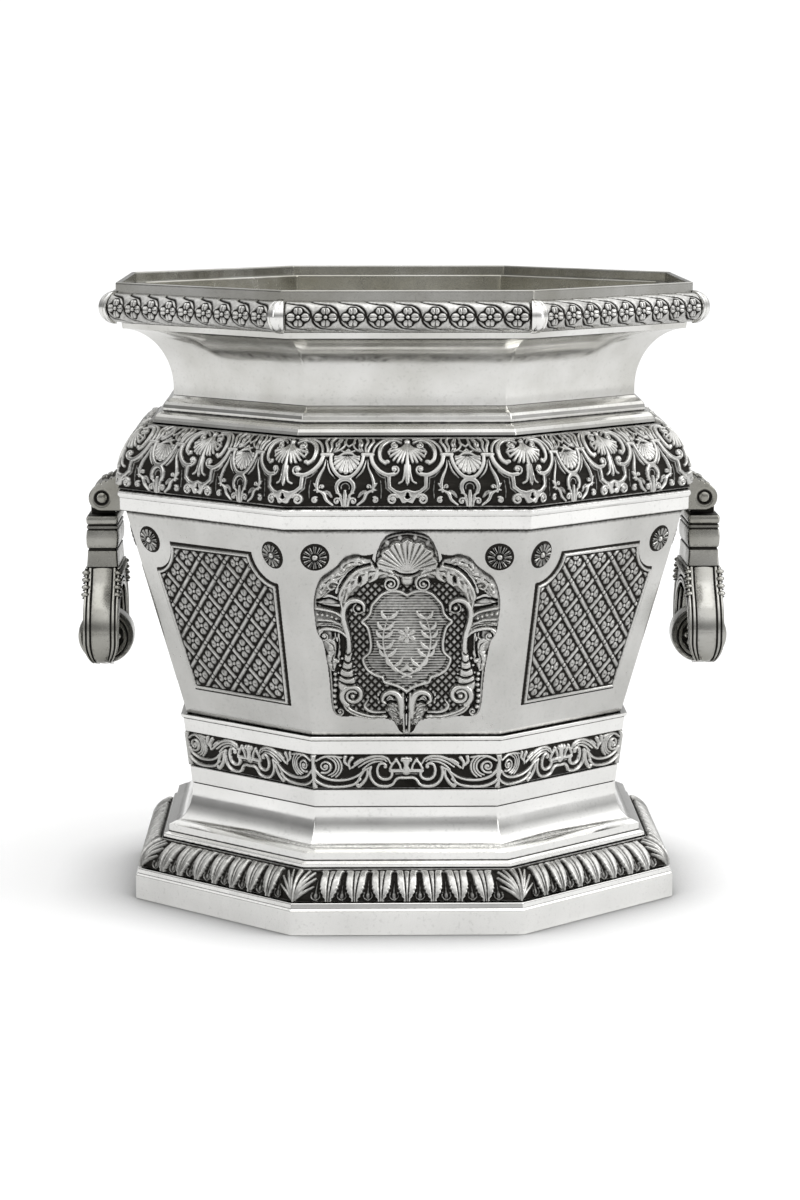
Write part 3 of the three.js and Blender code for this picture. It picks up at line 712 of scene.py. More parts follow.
def crest(r, high):
    """The shell on top of the cartouche: broad grooved lobes in front of a scalloped fringe."""
    r.stroke([(0, 78.9), (4.0, 78.2), (7.5, 76.8), (9.7, 73.8), (10.6, 70.4)], 1.0, 1.3)
    fringe = 12.4
    for turn in (-78, -56, -34, -12, 12, 34, 56, 78):
        c, s = cos(radians(90 - turn)), sin(radians(90 - turn))
        r.dome((fringe * c, 64.9 + fringe * s), 1.1, 1.6, 1.5, -turn)
    r.fan((0, 64.6), 90, 82, 12.7, 11.3, 7, 1.2 * high, 0.4, sink=0.9)
    r.strap([(0.4, 65.2), (0.4, 66.5)], 1.6, 0.7 * high)


def upper_scroll(r, high):
    """The eyed volute under the crest and the acanthus scroll that sweeps from it to the shoulder."""
    r.dome((0, 61.2), 2.7, 2.4, 0.85 * high)
    r.leaf([(6.2, 64.4), (10.6, 65.2), (15.0, 64.0), (18.9, 61.0), (21.6, 57.2), (22.4, 53.4)],
           [3.0, 5.4, 6.4, 6.0, 4.4, 2.0], high, 6, 0.2, 0.3, sink=0.5)
    for points in (
        [(10.6, 65.0), (11.0, 62.6), (13.2, 60.8)], [(14.4, 64.4), (14.6, 61.4), (16.4, 59.2)],
        [(17.8, 62.6), (18.2, 59.8), (19.6, 57.6)], [(20.4, 59.8), (20.6, 57.6), (21.4, 55.8)],
    ):
        r.stroke(points, [1.6, 2.2, 1.7, 1.0], [high, 0.95 * high, 0.75 * high])
    r.stroke([(4.9, 64.4), (9.0, 66.3), (13.6, 66.7), (18.0, 64.6), (21.3, 61.0), (23.6, 56.8), (23.8, 54.0)],
             [1.2, 1.7, 1.8, 1.6, 1.6, 1.4], 1.03 * high)
    r.volute((5.8, 60.3), 3.9, 1.3, 1.05 * high, 80, 1.7, 1.0)
    r.cut([(16.5, 62.4), (16.9, 60.8)], 1.0, 1.3)
    r.cut([(12.6, 63.0), (13.2, 62.2)], 0.7, 0.9)


def outer_foliage(r, high):
    """Curled leaves along the outer edge, from beside the crest down to the beaded strap."""
    r.leaf([(14.4, 67.4), (18.4, 68.4), (21.5, 67.4), (23.3, 64.8)], [2.0, 4.4, 4.4, 2.0], 0.95 * high, 4,
           0.3, 0.2)
    r.leaf([(22.4, 63.4), (25.6, 62.4), (28.5, 60.8), (30.4, 57.6)], [2.0, 4.6, 4.8, 2.2], 0.95 * high, 4,
           0.3, 0.2)
    r.leaf([(23.8, 58.4), (26.2, 58.6), (28.4, 57.0), (29.6, 54.8)], [1.4, 2.4, 2.4, 1.2], 0.8 * high, 3,
           0.35)
    r.stroke([(24.4, 60.4), (26.4, 61.0), (28.0, 59.6), (27.2, 58.0), (25.8, 58.4)], [0.8, 1.1, 0.9],
             0.9 * high)
    for x, y, size in ((18.0, 67.9, 1.3), (20.6, 67.2, 1.2), (22.4, 65.4, 1.0), (26.4, 61.7, 1.1),
                       (29.2, 59.6, 1.3), (30.4, 56.6, 1.0)):
        r.dome((x, y), size, size, 0.95 * high)
    r.stroke([(24.5, 64.9), (28.0, 62.8), (31.1, 59.6), (32.2, 55.4), (32.3, 51.4)], 0.9, 0.6 * high)
    r.dome((27.2, 52.9), 4.2, 2.3, 0.5 * high, -8, power=0.8)


def bead_straps(r, high):
    """The beaded strap, the ribs and the small volute at the widest part of the cartouche."""
    r.stroke([(22.8, 47.2), (25.3, 49.1), (28.8, 50.1), (32.5, 50.8)], [0.9, 1.2, 1.3], 0.95 * high)
    r.stroke([(23.6, 44.6), (27.2, 45.9), (32.4, 46.3)], [0.8, 1.0, 1.0], 0.85 * high)
    r.beads(curve([(24.2, 46.4), (28.0, 47.9), (32.6, 48.5)]), 5, 0.88, 0.9 * high)
    for lift in (0.0, 1.0):
        points = [(21.7, 41.4 + lift), (24.2, 43.3 + lift), (27.8, 44.1 + 0.7 * lift),
                  (31.9, 43.9 + 0.7 * lift)]
        r.stroke(points, 0.62, 0.7 * high)
    r.stroke([(21.0, 39.4), (23.4, 41.7), (26.8, 42.7), (29.8, 42.7), (31.8, 41.4)], [0.9, 1.3, 1.4, 1.1],
             high)
    r.volute((29.3, 39.9), 2.6, 1.0, 0.9 * high, 70, -1.2, 1.0)
    r.stroke([(25.4, 41.0), (25.6, 39.0), (27.4, 37.8), (28.6, 38.4)], [0.6, 0.9, 0.7], 0.7 * high)


def edge_leaves(r, high):
    """Ragged leaves and beads that run down the outer edge to a small curl."""
    r.leaf([(28.4, 38.0), (26.4, 36.6), (25.6, 33.6), (26.6, 30.6), (26.2, 26.8)],
           [2.0, 3.8, 4.2, 3.8, 2.0], 0.85 * high, 5, 0.3, 0.2, sink=0.5)
    r.stroke([(24.2, 40.6), (24.1, 36.6), (24.9, 33.2), (23.8, 30.6)], [1.0, 1.0, 0.8, 0.6], 0.7 * high)
    for centre in ((26.9, 35.6), (27.4, 31.8), (24.6, 30.0), (27.1, 28.6)):
        r.dome(centre, 1.1, 1.0, 0.85 * high)
    r.beads(curve([(25.5, 26.0), (25.4, 20.6), (25.7, 15.6), (25.0, 10.8)]), 7, 1.0, 0.75 * high)
    r.stroke([(27.2, 27.0), (26.7, 20.0), (26.5, 13.6), (25.4, 9.4), (23.4, 8.4)], 0.8, 0.55 * high)
    r.volute((23.7, 10.2), 1.7, 0.8, 0.75 * high, 260, -1.1, 0.5)


def side_column(r, high):
    """The C-scroll beside the shield, its gadroons and the big volute at its foot."""
    column = [(15.2, 49.8), (15.4, 52.2), (17.6, 53.7), (20.5, 53.0), (22.2, 50.6), (22.6, 47.4),
              (21.9, 43.6), (20.9, 40.0), (20.5, 35.6), (20.8, 30.6)]
    r.stroke(column, [1.1, 1.6, 2.0, 2.1, 2.1, 2.2, 2.1, 2.0, 2.1, 2.4], high)
    r.strap(arc_path((17.1, 50.6), 1.9, 150, 420), 0.7, 0.75 * high)
    r.dome((17.1, 50.6), 1.15, 1.15, 0.95 * high)
    r.strap([(22.6, 49.5), (23.2, 52.0), (23.6, 55.0)], 1.2, 0.9 * high)
    for up, half_width in ((28.2, 1.9), (25.5, 2.5), (22.6, 3.2)):
        r.dome((21.1 + 0.06 * (28 - up), up), half_width, 1.75, high, power=0.4)
    r.strap(spiral((19.2, 16.8), 4.3, 1.6, -62, 1.55), [2.3, 2.3, 2.0, 1.6, 1.2], 1.05 * high)
    r.dome((19.3, 16.5), 1.35, 1.35, 1.1 * high)
    r.stroke([(22.6, 14.4), (20.8, 11.2), (17.0, 9.1), (12.6, 8.0), (7.4, 8.2)], [1.9, 2.0, 2.0, 1.7, 1.2],
             0.95 * high, groove=0.35)
    r.stroke([(7.6, 10.0), (11.6, 9.9), (14.0, 10.8), (15.0, 12.6), (13.8, 14.8)], [0.7, 1.0, 1.4, 0.7],
             0.75 * high)


def foot_leaves(r, high):
    """The paired curled leaves over the pendant, and the stem between them."""
    r.stroke([(1.9, 8.0), (1.8, 13.0), (3.1, 16.6), (5.6, 17.9), (8.0, 16.8), (8.6, 14.7), (7.5, 13.7)],
             [1.5, 2.4, 2.6, 2.1, 1.7, 1.2], high)
    r.stroke([(4.9, 15.4), (6.2, 16.2), (7.0, 15.2)], [0.7, 1.0, 0.8], 0.8 * high)
    for points, widths in (
        ([(2.4, 9.6), (4.2, 12.4), (6.9, 13.0)], [1.2, 2.4, 1.0]),
        ([(2.0, 8.2), (4.6, 10.2), (7.4, 10.9)], [1.2, 2.2, 1.0]),
        ([(1.4, 6.6), (4.0, 7.6), (6.0, 7.0)], [1.2, 2.0, 1.0]),
        ([(1.2, 5.4), (2.8, 5.6), (3.8, 4.6)], [1.0, 1.5, 0.8]),
    ):
        r.leaf(points, widths, 0.9 * high, 3, 0.3)
    r.beads(arc_path((5.7, 15.2), 4.6, 62, -30), 5, 0.62, 0.65 * high)
    r.strap([(1.25, 17.4), (1.1, 8.0), (0.8, 1.6)], [0.8, 1.1, 0.9], 0.85 * high)
    r.dome((0, 1.9), 1.5, 1.4, 0.7 * high)
    r.cut([(0, 17.0), (0, 4.0)], 0.5, 1.0)


def shield(r, outline):
    """The shield: a fillet, a field of level lines, two laurel sprays and a small flower between them."""
    across, up = np.meshgrid(r.x, r.y)
    within = inside_of(outline, across, up)
    field = 1.15 + 0.35 * np.exp(-((across / 11) ** 2 + ((up - 38) / 16) ** 2))
    line_pitch = 1.05
    r.height = np.where(within, field + 0.2 * np.cos(2 * pi * up / line_pitch), r.height)
    for hand in (-1, 1):
        stem = curve([(-1.6 * hand, 23.6), (3.4 * hand, 26.4), (7.6 * hand, 32.6), (8.4 * hand, 40.0),
                      (6.6 * hand, 47.4)])
        r.strap(stem, [0.9, 0.8, 0.5], 2.0, sink=1.3)
        for share in np.linspace(0.2, 0.95, 7):
            x, y = stem[round(share * (len(stem) - 1))]
            for turned in (-1, 1):
                tip = (x + turned * 3.0 - 0.8 * hand * share, y + 3.2)
                middle = ((x + tip[0]) / 2 + 0.5 * turned, (y + tip[1]) / 2 - 0.4)
                r.stroke([(x, y), middle, tip], [0.5, 1.6, 1.4, 0.4], 2.1, sink=1.2, groove=0.25)
    flower_up, petal_out, middle_up = 40, 2.1, 38
    for turn in range(30, 390, 60):
        t = radians(turn)
        r.dome((petal_out * cos(t), flower_up + petal_out * sin(t)), 1.5, 0.95, 2.2, turn, 1.2)
    r.dome((0, flower_up), 1.1, 1.1, 2.5, 0.0, 1.2)
    edge = np.vstack([outline, outline[:1]])
    r.strap(edge, 1.25, 2.35, sink=1.0)
    r.cut((edge - (0, middle_up)) * 0.92 + (0, middle_up), 0.45, 0.3)


def cartouche(step):
    """The big applied cartouche: its x and y, its height and how far each point lies inside its edge."""
    ground, high = 0.45, 2.9
    x, y = ruled(0, 34.5, step), ruled(-0.6, 80.4, step)
    r = Relief(x, y, ground, swell=1.28)
    across, up = np.meshgrid(x, y)
    p, q = (across / 1.4 + up / 1.55) / 2, (across / 1.4 - up / 1.55) / 2
    cell = np.maximum(np.abs(p - np.round(p)), np.abs(q - np.round(q)))
    lattice = ground + 0.15 + 0.65 * np.sqrt(np.clip(1 - (cell / 0.36) ** 2, 0, 1))
    r.height = np.where((across < 20.5) & (up > 8.5) & (up < 60), lattice, r.height)
    for part in (masses, outer_foliage, edge_leaves, bead_straps, upper_scroll, side_column, foot_leaves,
                 crest):
        part(r, high)
    for path, width, depth in (
        ([(0, 63.6), (2.2, 63.9), (4.0, 64.8)], 1.3, 2.2),
        ([(10.9, 66.6), (11.7, 68.8), (11.0, 71.4)], 0.9, 2.0),
        ([(13.2, 67.4), (17.6, 66.4), (21.4, 63.4), (24.0, 59.6), (24.9, 56.0)], 0.8, 1.8),
        ([(20.2, 33.2), (20.9, 32.6), (21.8, 33.0)], 0.7, 1.4),
        ([(18.9, 30.2), (21.0, 29.6), (23.1, 30.4)], 0.7, 1.4),
        ([(18.6, 27.2), (21.2, 26.6), (23.8, 27.6)], 0.7, 1.4),
        ([(18.2, 24.1), (21.2, 23.5), (24.4, 24.7)], 0.7, 1.4),
        ([(17.8, 21.2), (20.6, 20.9), (23.8, 22.0)], 0.7, 1.4),
        ([(24.6, 53.6), (28.0, 54.6), (31.6, 53.4)], 1.0, 1.6),
        ([(24.0, 51.0), (27.8, 51.4), (31.8, 52.2)], 0.8, 1.4),
        ([(24.6, 38.4), (24.6, 35.0), (25.2, 31.4)], 0.9, 1.6),
        ([(4.0, 13.6), (5.6, 14.3), (6.8, 13.6)], 0.8, 1.4),
    ):
        r.cut(curve(path), width, depth)
    whole = Relief(np.concatenate([-x[:0:-1], x]), y)
    whole.height = mirrored(r.height)
    shield(whole, closed_outline(SHIELD_EDGE))
    edge = closed_outline(CARTOUCHE_EDGE)
    across, up = np.meshgrid(whole.x, whole.y)
    _, distance, _, _ = whole.trace(np.vstack([edge, edge[:1]]), 1e3)
    inside = np.where(inside_of(edge, across, up), distance, -distance)
    return whole.x, y, whole.height, inside


# ---------------------------------------------------------------- materials
def link(tree, source, target):
    """Feeds one socket of a node tree into another."""
    tree.links.new(source, target)


def noise(tree, where, scale, detail, roughness=0.5):
    """A cloudy value from 0 to 1, with about scale clouds to the metre."""
    node = tree.nodes.new("ShaderNodeTexNoise")
    node.inputs["Scale"].default_value = scale
    node.inputs["Detail"].default_value = detail
    node.inputs["Roughness"].default_value = roughness
    link(tree, where, node.inputs["Vector"])
    return node.outputs["Fac"]


def spread(tree, value, low, high, to_low, to_high):
    """Maps a value from one range to another, held inside it."""
    node = tree.nodes.new("ShaderNodeMapRange")
    node.clamp = True
    for socket, number in zip(node.inputs[1:5], (low, high, to_low, to_high)):
        socket.default_value = number
    link(tree, value, node.inputs["Value"])
    return node.outputs["Result"]


def blend_colours(tree, amount, first, second, mode="MIX"):
    """Mixes two colours by an amount; each colour is a socket or a plain RGB tuple."""
    node = tree.nodes.new("ShaderNodeMix")
    node.data_type = "RGBA"
    node.blend_type = mode
    for socket, value in ((node.inputs[6], first), (node.inputs[7], second)):
        if isinstance(value, tuple):
            socket.default_value = (*value, 1)
        else:
            link(tree, value, socket)
    if isinstance(amount, float):
        node.inputs[0].default_value = amount
    else:
        link(tree, amount, node.inputs[0])
    return node.outputs[2]


def combine(tree, operation, first, second):
    """Adds or multiplies two values; each is a socket or a number."""
    node = tree.nodes.new("ShaderNodeMath")
    node.operation = operation
    for socket, value in zip(node.inputs, (first, second)):
        if isinstance(value, (int, float)):
            socket.default_value = value
        else:
            link(tree, value, socket)
    return node.outputs[0]


OXIDE_BLACK = (0.030, 0.028, 0.025)


def silver(name, bright, dull, rough, waviness=0.0, grain=0.0):
    """Silver with cloudy polish, soft smudges and fine wipe marks, and black oxide in its recesses.

    bright and dull are the two tones that the polish drifts between, and their overall level is also painted
    shade where a part is set darker than polished silver; rough the range of roughness, waviness the height
    of the slow hand-raised unevenness and grain the height of cast texture, in mm.
    """
    material = bpy.data.materials.new(name)
    material.use_nodes = True
    tree = material.node_tree
    shader = tree.nodes["Principled BSDF"]
    shader.inputs["Metallic"].default_value = 1.0
    where = tree.nodes.new("ShaderNodeTexCoord").outputs["Object"]
    cloud = noise(tree, where, 32.0, 4.0, 0.55)
    smudge = noise(tree, where, 90.0, 5.0, 0.6)
    colour = blend_colours(tree, spread(tree, cloud, 0.35, 0.7, 0.0, 1.0), dull, bright)
    roughness = spread(tree, smudge, 0.35, 0.72, *rough)
    held = tree.nodes.new("ShaderNodeAttribute")
    held.attribute_name = "oxide"
    speckle = spread(tree, noise(tree, where, 900.0, 2.0), 0.3, 0.7, -0.12, 0.12)
    amount = spread(tree, combine(tree, "ADD", held.outputs["Fac"], speckle), 0.05, 0.75, 0.0, 1.0)
    colour = blend_colours(tree, amount, colour, OXIDE_BLACK)
    roughness = combine(tree, "ADD", roughness, combine(tree, "MULTIPLY", amount, 0.35))
    link(tree, colour, shader.inputs["Base Color"])
    link(tree, roughness, shader.inputs["Roughness"])
    stretch = tree.nodes.new("ShaderNodeMapping")
    stretch.inputs["Scale"].default_value = (1.0, 1.0, 6.0)
    link(tree, where, stretch.inputs["Vector"])
    marks = noise(tree, stretch.outputs["Vector"], 700.0, 2.0, 0.7)
    normal = bump(tree, marks, 0.0006 + grain * 0.4, None)
    if grain:
        normal = bump(tree, noise(tree, where, 1400.0, 3.0, 0.6), grain, normal)
    if waviness:
        normal = bump(tree, noise(tree, where, 26.0, 1.0, 0.4), waviness, normal)
    link(tree, normal, shader.inputs["Normal"])
    return material


def bump(tree, height, distance, before):
    """A bump of the given height in mm on top of an earlier one."""
    node = tree.nodes.new("ShaderNodeBump")
    node.inputs["Strength"].default_value = 1.0
    node.inputs["Distance"].default_value = distance * MM
    link(tree, height, node.inputs["Height"])
    if before:
        link(tree, before, node.inputs["Normal"])
    return node.outputs["Normal"]


def grey(level, warmth=0.012):
    """A silver tone: a level with a little less blue."""
    return (level, level - warmth / 3, level - 2 * warmth)


# Painted shade: these are all one silver. The polished parts keep near-true tones. The wall, neck, rim,
# handles and liner are darker copies, each darkened to how dim that part looks under the studio light. The
# cast ornament is darker partly for its matt cast finish and partly as painted shade. The black oxide is
# separate.
polished = silver("polished_silver", grey(0.97), grey(0.86), (0.09, 0.20), waviness=0.35)
satin_shaded_wall = silver("polished_silver_wall", grey(0.72), grey(0.57), (0.16, 0.27), waviness=0.6)
neck_metal = silver("polished_silver_neck", grey(0.82), grey(0.62, 0.02), (0.10, 0.20), waviness=0.4)
rim_metal = silver("polished_silver_rim", grey(0.54), grey(0.36, 0.02), (0.14, 0.26), waviness=0.3)
cast = silver("cast_silver_oxidised", grey(0.72), grey(0.52), (0.20, 0.36), grain=0.02)
handle_metal = silver("handle_silver", grey(0.50, 0.015), grey(0.31, 0.02), (0.16, 0.30), 0.6, 0.01)
lining = silver("liner_silver", grey(0.56, 0.02), grey(0.40, 0.03), (0.16, 0.30), waviness=0.5)

# The floor of the body keeps its CAD shape and only gets its metal.
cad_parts["body_floor"].material_slots[0].material = polished


# ---------------------------------------------------------------- smooth shells
LOWER_LEAN = 0.125                  # how far each face leans out for each millimetre it climbs
WALL_LEAN = 0.276
WALL_FOOT = bottom("body_shell")
FRIEZE_FOOT, FRIEZE_HEAD = bottom("scroll_frieze"), top("scroll_frieze")
FRIEZE_PROUD = 0.4
FRIEZE_SINK = 1.5


def lower_face(height):
    """The apothem of the lower body, under and over the frieze."""
    return apothem("scroll_frieze") - FRIEZE_PROUD + LOWER_LEAN * (height - FRIEZE_HEAD)


WALL_TOP = bottom("shoulder_band")
WALL_APOTHEM = lower_face(top("lower_body")) - 1.49


def wall_face(height):
    """The apothem of the big leaning wall."""
    return WALL_APOTHEM + WALL_LEAN * (height - WALL_FOOT)


def place_ring(node, profile, metal=polished, stains=()):
    """Puts the fine ring of one plain eight-sided node in its place."""
    place(octagon_ring(f"{node}_fine", profile, stains=stains), metal, "bucket", "polished_silver", node)


def build_plinth():
    size, head = apothem("base_plinth"), top("base_plinth")
    profile = [
        (size - 4, 0), (size, 0), (size, head - 2.7), (size - 0.7, head - 2.0), (size - 1.0, head),
        (size - 13.6, head), (size - 13.6, head - 2), (size - 4, head - 2),
    ]
    place_ring("base_plinth", soften(profile, 0.45))


def build_foot():
    step, foot, head = apothem("foot_shell"), bottom("foot_shell"), top("foot_shell")
    neck, cove_out, throat, cove_top = step - 2, step - 4, step - 10.8, head - 1.3
    outer = soften([(step, foot), (step, foot + 1.2), (neck, foot + 1.9), (neck, foot + 4.6)], 0.5,
                   closed=False)
    outer += ellipse(cove_out, cove_top, cove_out - throat, cove_top - foot - 5.7, 266, 180, 16)
    outer.append((throat, head))
    place_ring("foot_shell", thick(outer, SHEET))


def build_lower_body():
    foot, head = bottom("lower_body"), top("lower_body")
    ledge, lip, gap = head - 1.6, 0.8, 0.3
    seat_foot, seat_head = FRIEZE_FOOT - gap, FRIEZE_HEAD + gap
    inside = lower_face(foot) - 3.2
    profile = [
        (inside, foot), (lower_face(foot), foot), (lower_face(seat_foot), seat_foot),
        (lower_face(FRIEZE_FOOT) - FRIEZE_SINK, seat_foot),
        (lower_face(FRIEZE_HEAD) - FRIEZE_SINK, seat_head), (lower_face(seat_head), seat_head),
        (lower_face(ledge), ledge), (lower_face(ledge) + lip, ledge + 0.4),
        (lower_face(head) + lip, head), (inside, head),
    ]
    place_ring("lower_body", soften(profile, 0.35))


def build_wall():
    back = apothem("shoulder_band") - 1.9
    under = WALL_TOP - 0.3
    profile = [
        (wall_face(WALL_FOOT) - SHEET, WALL_FOOT), (wall_face(WALL_FOOT), WALL_FOOT),
        (wall_face(WALL_FOOT + 1), WALL_FOOT + 1), (wall_face(under - 1.4), under - 1.4),
        (wall_face(under - 0.7), under - 0.7), (wall_face(under), under),
        (back, under + 3.3), (back, top("body_shell")), (back - SHEET, top("body_shell")),
        (wall_face(under) - SHEET, under),
    ]
    stains = [(under + 0.2, 1.5, 1.0), (WALL_FOOT, 0.9, 0.8)]
    place_ring("body_shell", soften(profile, 0.4), satin_shaded_wall, stains)


def build_shoulder():
    size, foot, head = apothem("shoulder_band"), bottom("shoulder_band"), top("shoulder_band")
    face = size - 0.8
    profile = [
        (wall_face(foot) + 0.3, foot), (face - 0.5, foot), (face, foot + 0.5), (face + 0.1, head - 2.8),
        (size, head - 1.9), (size, head - 0.9), (size - 0.8, head), (size - 1.6, head),
        (size - 1.6, foot + 2.6),
    ]
    place_ring("shoulder_band", soften(profile, 0.3, 2), stains=[(head, 0.9, 0.9), (foot, 0.4, 0.9)])


NECK_FOOT, NECK_HEAD = bottom("neck_shell"), top("neck_shell")
NECK_LIP = apothem("neck_shell")
NECK_THROAT = NECK_LIP - 18.4


def neck_flare(end, steps):
    """The long outward curve of the neck, from the throat to an angle just short of its lip."""
    reach, rise = 19, 22.4
    return ellipse(NECK_THROAT + reach, NECK_FOOT + 12.3, reach, rise, 180, end, steps)


def build_neck():
    """Two rounded reeds, the throat and the flare up to the lip."""
    reeds = [
        (7.4, 0), (7.3, 1.0), (6.8, 2.1), (6.0, 3.0), (5.0, 3.6), (3.6, 4.0), (3.9, 5.2), (3.6, 6.4),
        (3.0, 7.4), (2.0, 8.1), (0.9, 8.7), (0, 9.7), (0, 11.5),
    ]
    outer = soften([(NECK_THROAT + out, NECK_FOOT + up) for out, up in reeds], 0.4, closed=False)
    outer += neck_flare(93, 26) + [(NECK_LIP, NECK_HEAD)]
    place_ring("neck_shell", thick(outer, SHEET), neck_metal)


def build_rim_collar():
    size, foot, head = apothem("rim_collar"), bottom("rim_collar"), top("rim_collar")
    profile = [
        (size - 3.8, foot), (size, foot), (size, head), (size - 1.7, head), (size - 1.7, head - 5.6),
        (size - 3.8, head - 5.6),
    ]
    place_ring("rim_collar", soften(profile, 0.5), rim_metal)


build_plinth()
build_foot()
build_lower_body()
build_wall()
build_shoulder()
build_neck()
build_rim_collar()


# ---------------------------------------------------------------- ornament on the shells
def profile_rows(points, rows):
    """A profile cut into equal steps: apothem, height and outward direction of each row."""
    points = np.array(points, float)
    walked = walked_along(points)
    along = np.linspace(0, walked[-1], rows)
    a, z = (np.interp(along, walked, points[:, axis]) for axis in (0, 1))
    da, dz = np.gradient(a), np.gradient(z)
    length = np.hypot(da, dz)
    return a, z, dz / length, -da / length


def grid_faces(rows, columns):
    """Quads over a rectangular grid of points, as an array of corner numbers."""
    j, i = np.meshgrid(np.arange(rows - 1), np.arange(columns - 1), indexing="ij")
    corner = (j * columns + i).ravel()
    return np.stack([corner, corner + 1, corner + columns + 1, corner + columns], axis=1)


def relief_mesh(name, vertices, faces, uv, oxide, keep):
    """A thinned relief with its oxide held on the points and the map's own layout for baking."""
    piece = new_mesh(name, vertices, faces, sharp=75)
    mesh = piece.data
    hold_oxide(mesh, oxide)
    corners = np.zeros(len(mesh.loops), np.int32)
    mesh.loops.foreach_get("vertex_index", corners)
    layer = mesh.uv_layers.new(name="OFBake")
    layer.data.foreach_set("uv", uv[corners].astype(np.float32).ravel())
    rework(mesh, close_gaps)
    if keep < 1:
        thin = piece.modifiers.new("thin", "DECIMATE")
        thin.ratio = keep
        thinned = piece.evaluated_get(bpy.context.evaluated_depsgraph_get())
        piece.data = bpy.data.meshes.new_from_object(thinned)
        piece.modifiers.clear()
    piece.data.shade_smooth()
    return piece


def side_strip(name, height, profile, half, back, oxide, keep):
    """One side's length of a border: a height map in mm laid on a profile, closed behind and at both ends.

    With no half length, both ends are mitred to meet the next sides.
    """
    mitred = half is None
    rows, columns = height.shape
    a, z, out_a, out_z = profile_rows(profile, rows)
    height = height.copy()
    height[[0, -1]] = back
    size = a[:, None] + height * out_a[:, None]
    level = z[:, None] + height * out_z[:, None]
    across = np.linspace(-1, 1, columns)[None, :]
    x = across * size * MITRE if mitred else across * half + 0 * size
    front = np.stack([x, -size, level], axis=-1).reshape(-1, 3)
    inner = slice(1, rows - 1)
    behind, behind_level = a[inner] + back * out_a[inner], z[inner] + back * out_z[inner]
    end = behind * MITRE if mitred else half + 0 * behind
    left = np.stack([-end, -behind, behind_level], axis=1)
    right = np.stack([end, -behind, behind_level], axis=1)
    faces = grid_faces(rows, columns).tolist()
    first_left, first_right, count = rows * columns, rows * columns + rows - 2, rows - 2
    for i in range(count - 1):
        faces.append((first_right + i, first_left + i, first_left + i + 1, first_right + i + 1))
    faces.append((*range(columns - 1, -1, -1), first_left, first_right))
    last_row = (rows - 1) * columns
    faces.append((*range(last_row, last_row + columns), first_right + count - 1, first_left + count - 1))
    faces.append((*range(0, last_row + 1, columns), *range(first_left + count - 1, first_left - 1, -1)))
    faces.append((*range(last_row + columns - 1, columns - 2, -columns),
                  *range(first_right, first_right + count)))
    u, v = np.meshgrid(np.linspace(0.01, 0.99, columns), np.linspace(0.02, 0.99, rows))
    hidden = np.full((2 * count, 2), 0.005)
    uv = np.vstack([np.stack([u, v], axis=-1).reshape(-1, 2), hidden])
    held = np.concatenate([oxide.ravel(), np.ones(2 * count)])
    return relief_mesh(name, np.vstack([front, left, right]), faces, uv, held, keep)


def wall_point(side, x, y, height):
    """Points on the leaning wall of one side: across, up the slope and out from it."""
    lean = atan(WALL_LEAN)
    size = WALL_APOTHEM + y * sin(lean) + height * cos(lean)
    level = WALL_FOOT + y * cos(lean) - height * sin(lean)
    c, s = cos(side * SIDE_TURN), sin(side * SIDE_TURN)
    return np.stack([x * c + size * s, x * s - size * c, level], axis=-1)


def wall_plate(name, x, y, height, inside, back, oxide, keep):
    """A relief plate with a free outline, standing on the wall of side 0."""
    across, up = np.meshgrid(x, y)
    rows, columns = height.shape
    kept = inside > -0.12
    faces = grid_faces(rows, columns)
    faces = faces[kept.ravel()[faces].all(axis=1)]
    used = np.zeros(rows * columns, int)
    np.add.at(used, faces.ravel(), 1)
    height = np.minimum(height, (inside + 0.12) * 5 + back)
    height = np.where(used.reshape(rows, columns) < 4, back, height)
    renumber = np.cumsum(used > 0) - 1
    points = wall_point(0, across, up, height).reshape(-1, 3)[used > 0]
    uv = np.stack([(across - x[0]) / (x[-1] - x[0]), (up - y[0]) / (y[-1] - y[0])], axis=-1) * 0.98 + 0.01
    return relief_mesh(name, points, renumber[faces].tolist(), uv.reshape(-1, 2)[used > 0],
                       oxide.ravel()[used > 0], keep)


def turned_copy(original, name, side):
    """A copy of a side-0 piece carried round to another side."""
    mesh = original.data.copy()
    mesh.transform(Matrix.Rotation(side * SIDE_TURN, 4, "Z"))
    return add_object(name, mesh)


def border(prefix, node, height, profile, depth, crown, back, keep, bare, step=0.2, half=None):
    """Makes one border piece and its seven turned copies.

    crown is how far the highest relief stands off the profile in mm, depth is how deep the ground lies
    below it, and back is where the closed rear lies. keep is the share of triangles left after thinning.
    bare is the height that the polishing cloth reaches fully, so a lower one leaves less oxide.
    """
    oxide = oxide_of(height, step, 0.05, bare)
    raised = (height - 1) * depth + crown
    first = side_strip(f"{prefix}_{SIDE_NAMES[0]}", raised, profile, half, back, oxide, keep)
    for side, side_name in enumerate(SIDE_NAMES):
        copy = first if side == 0 else turned_copy(first, f"{prefix}_{side_name}", side)
        place(copy, cast, "bucket", "cast_silver_oxidised", node.format(side + 1))


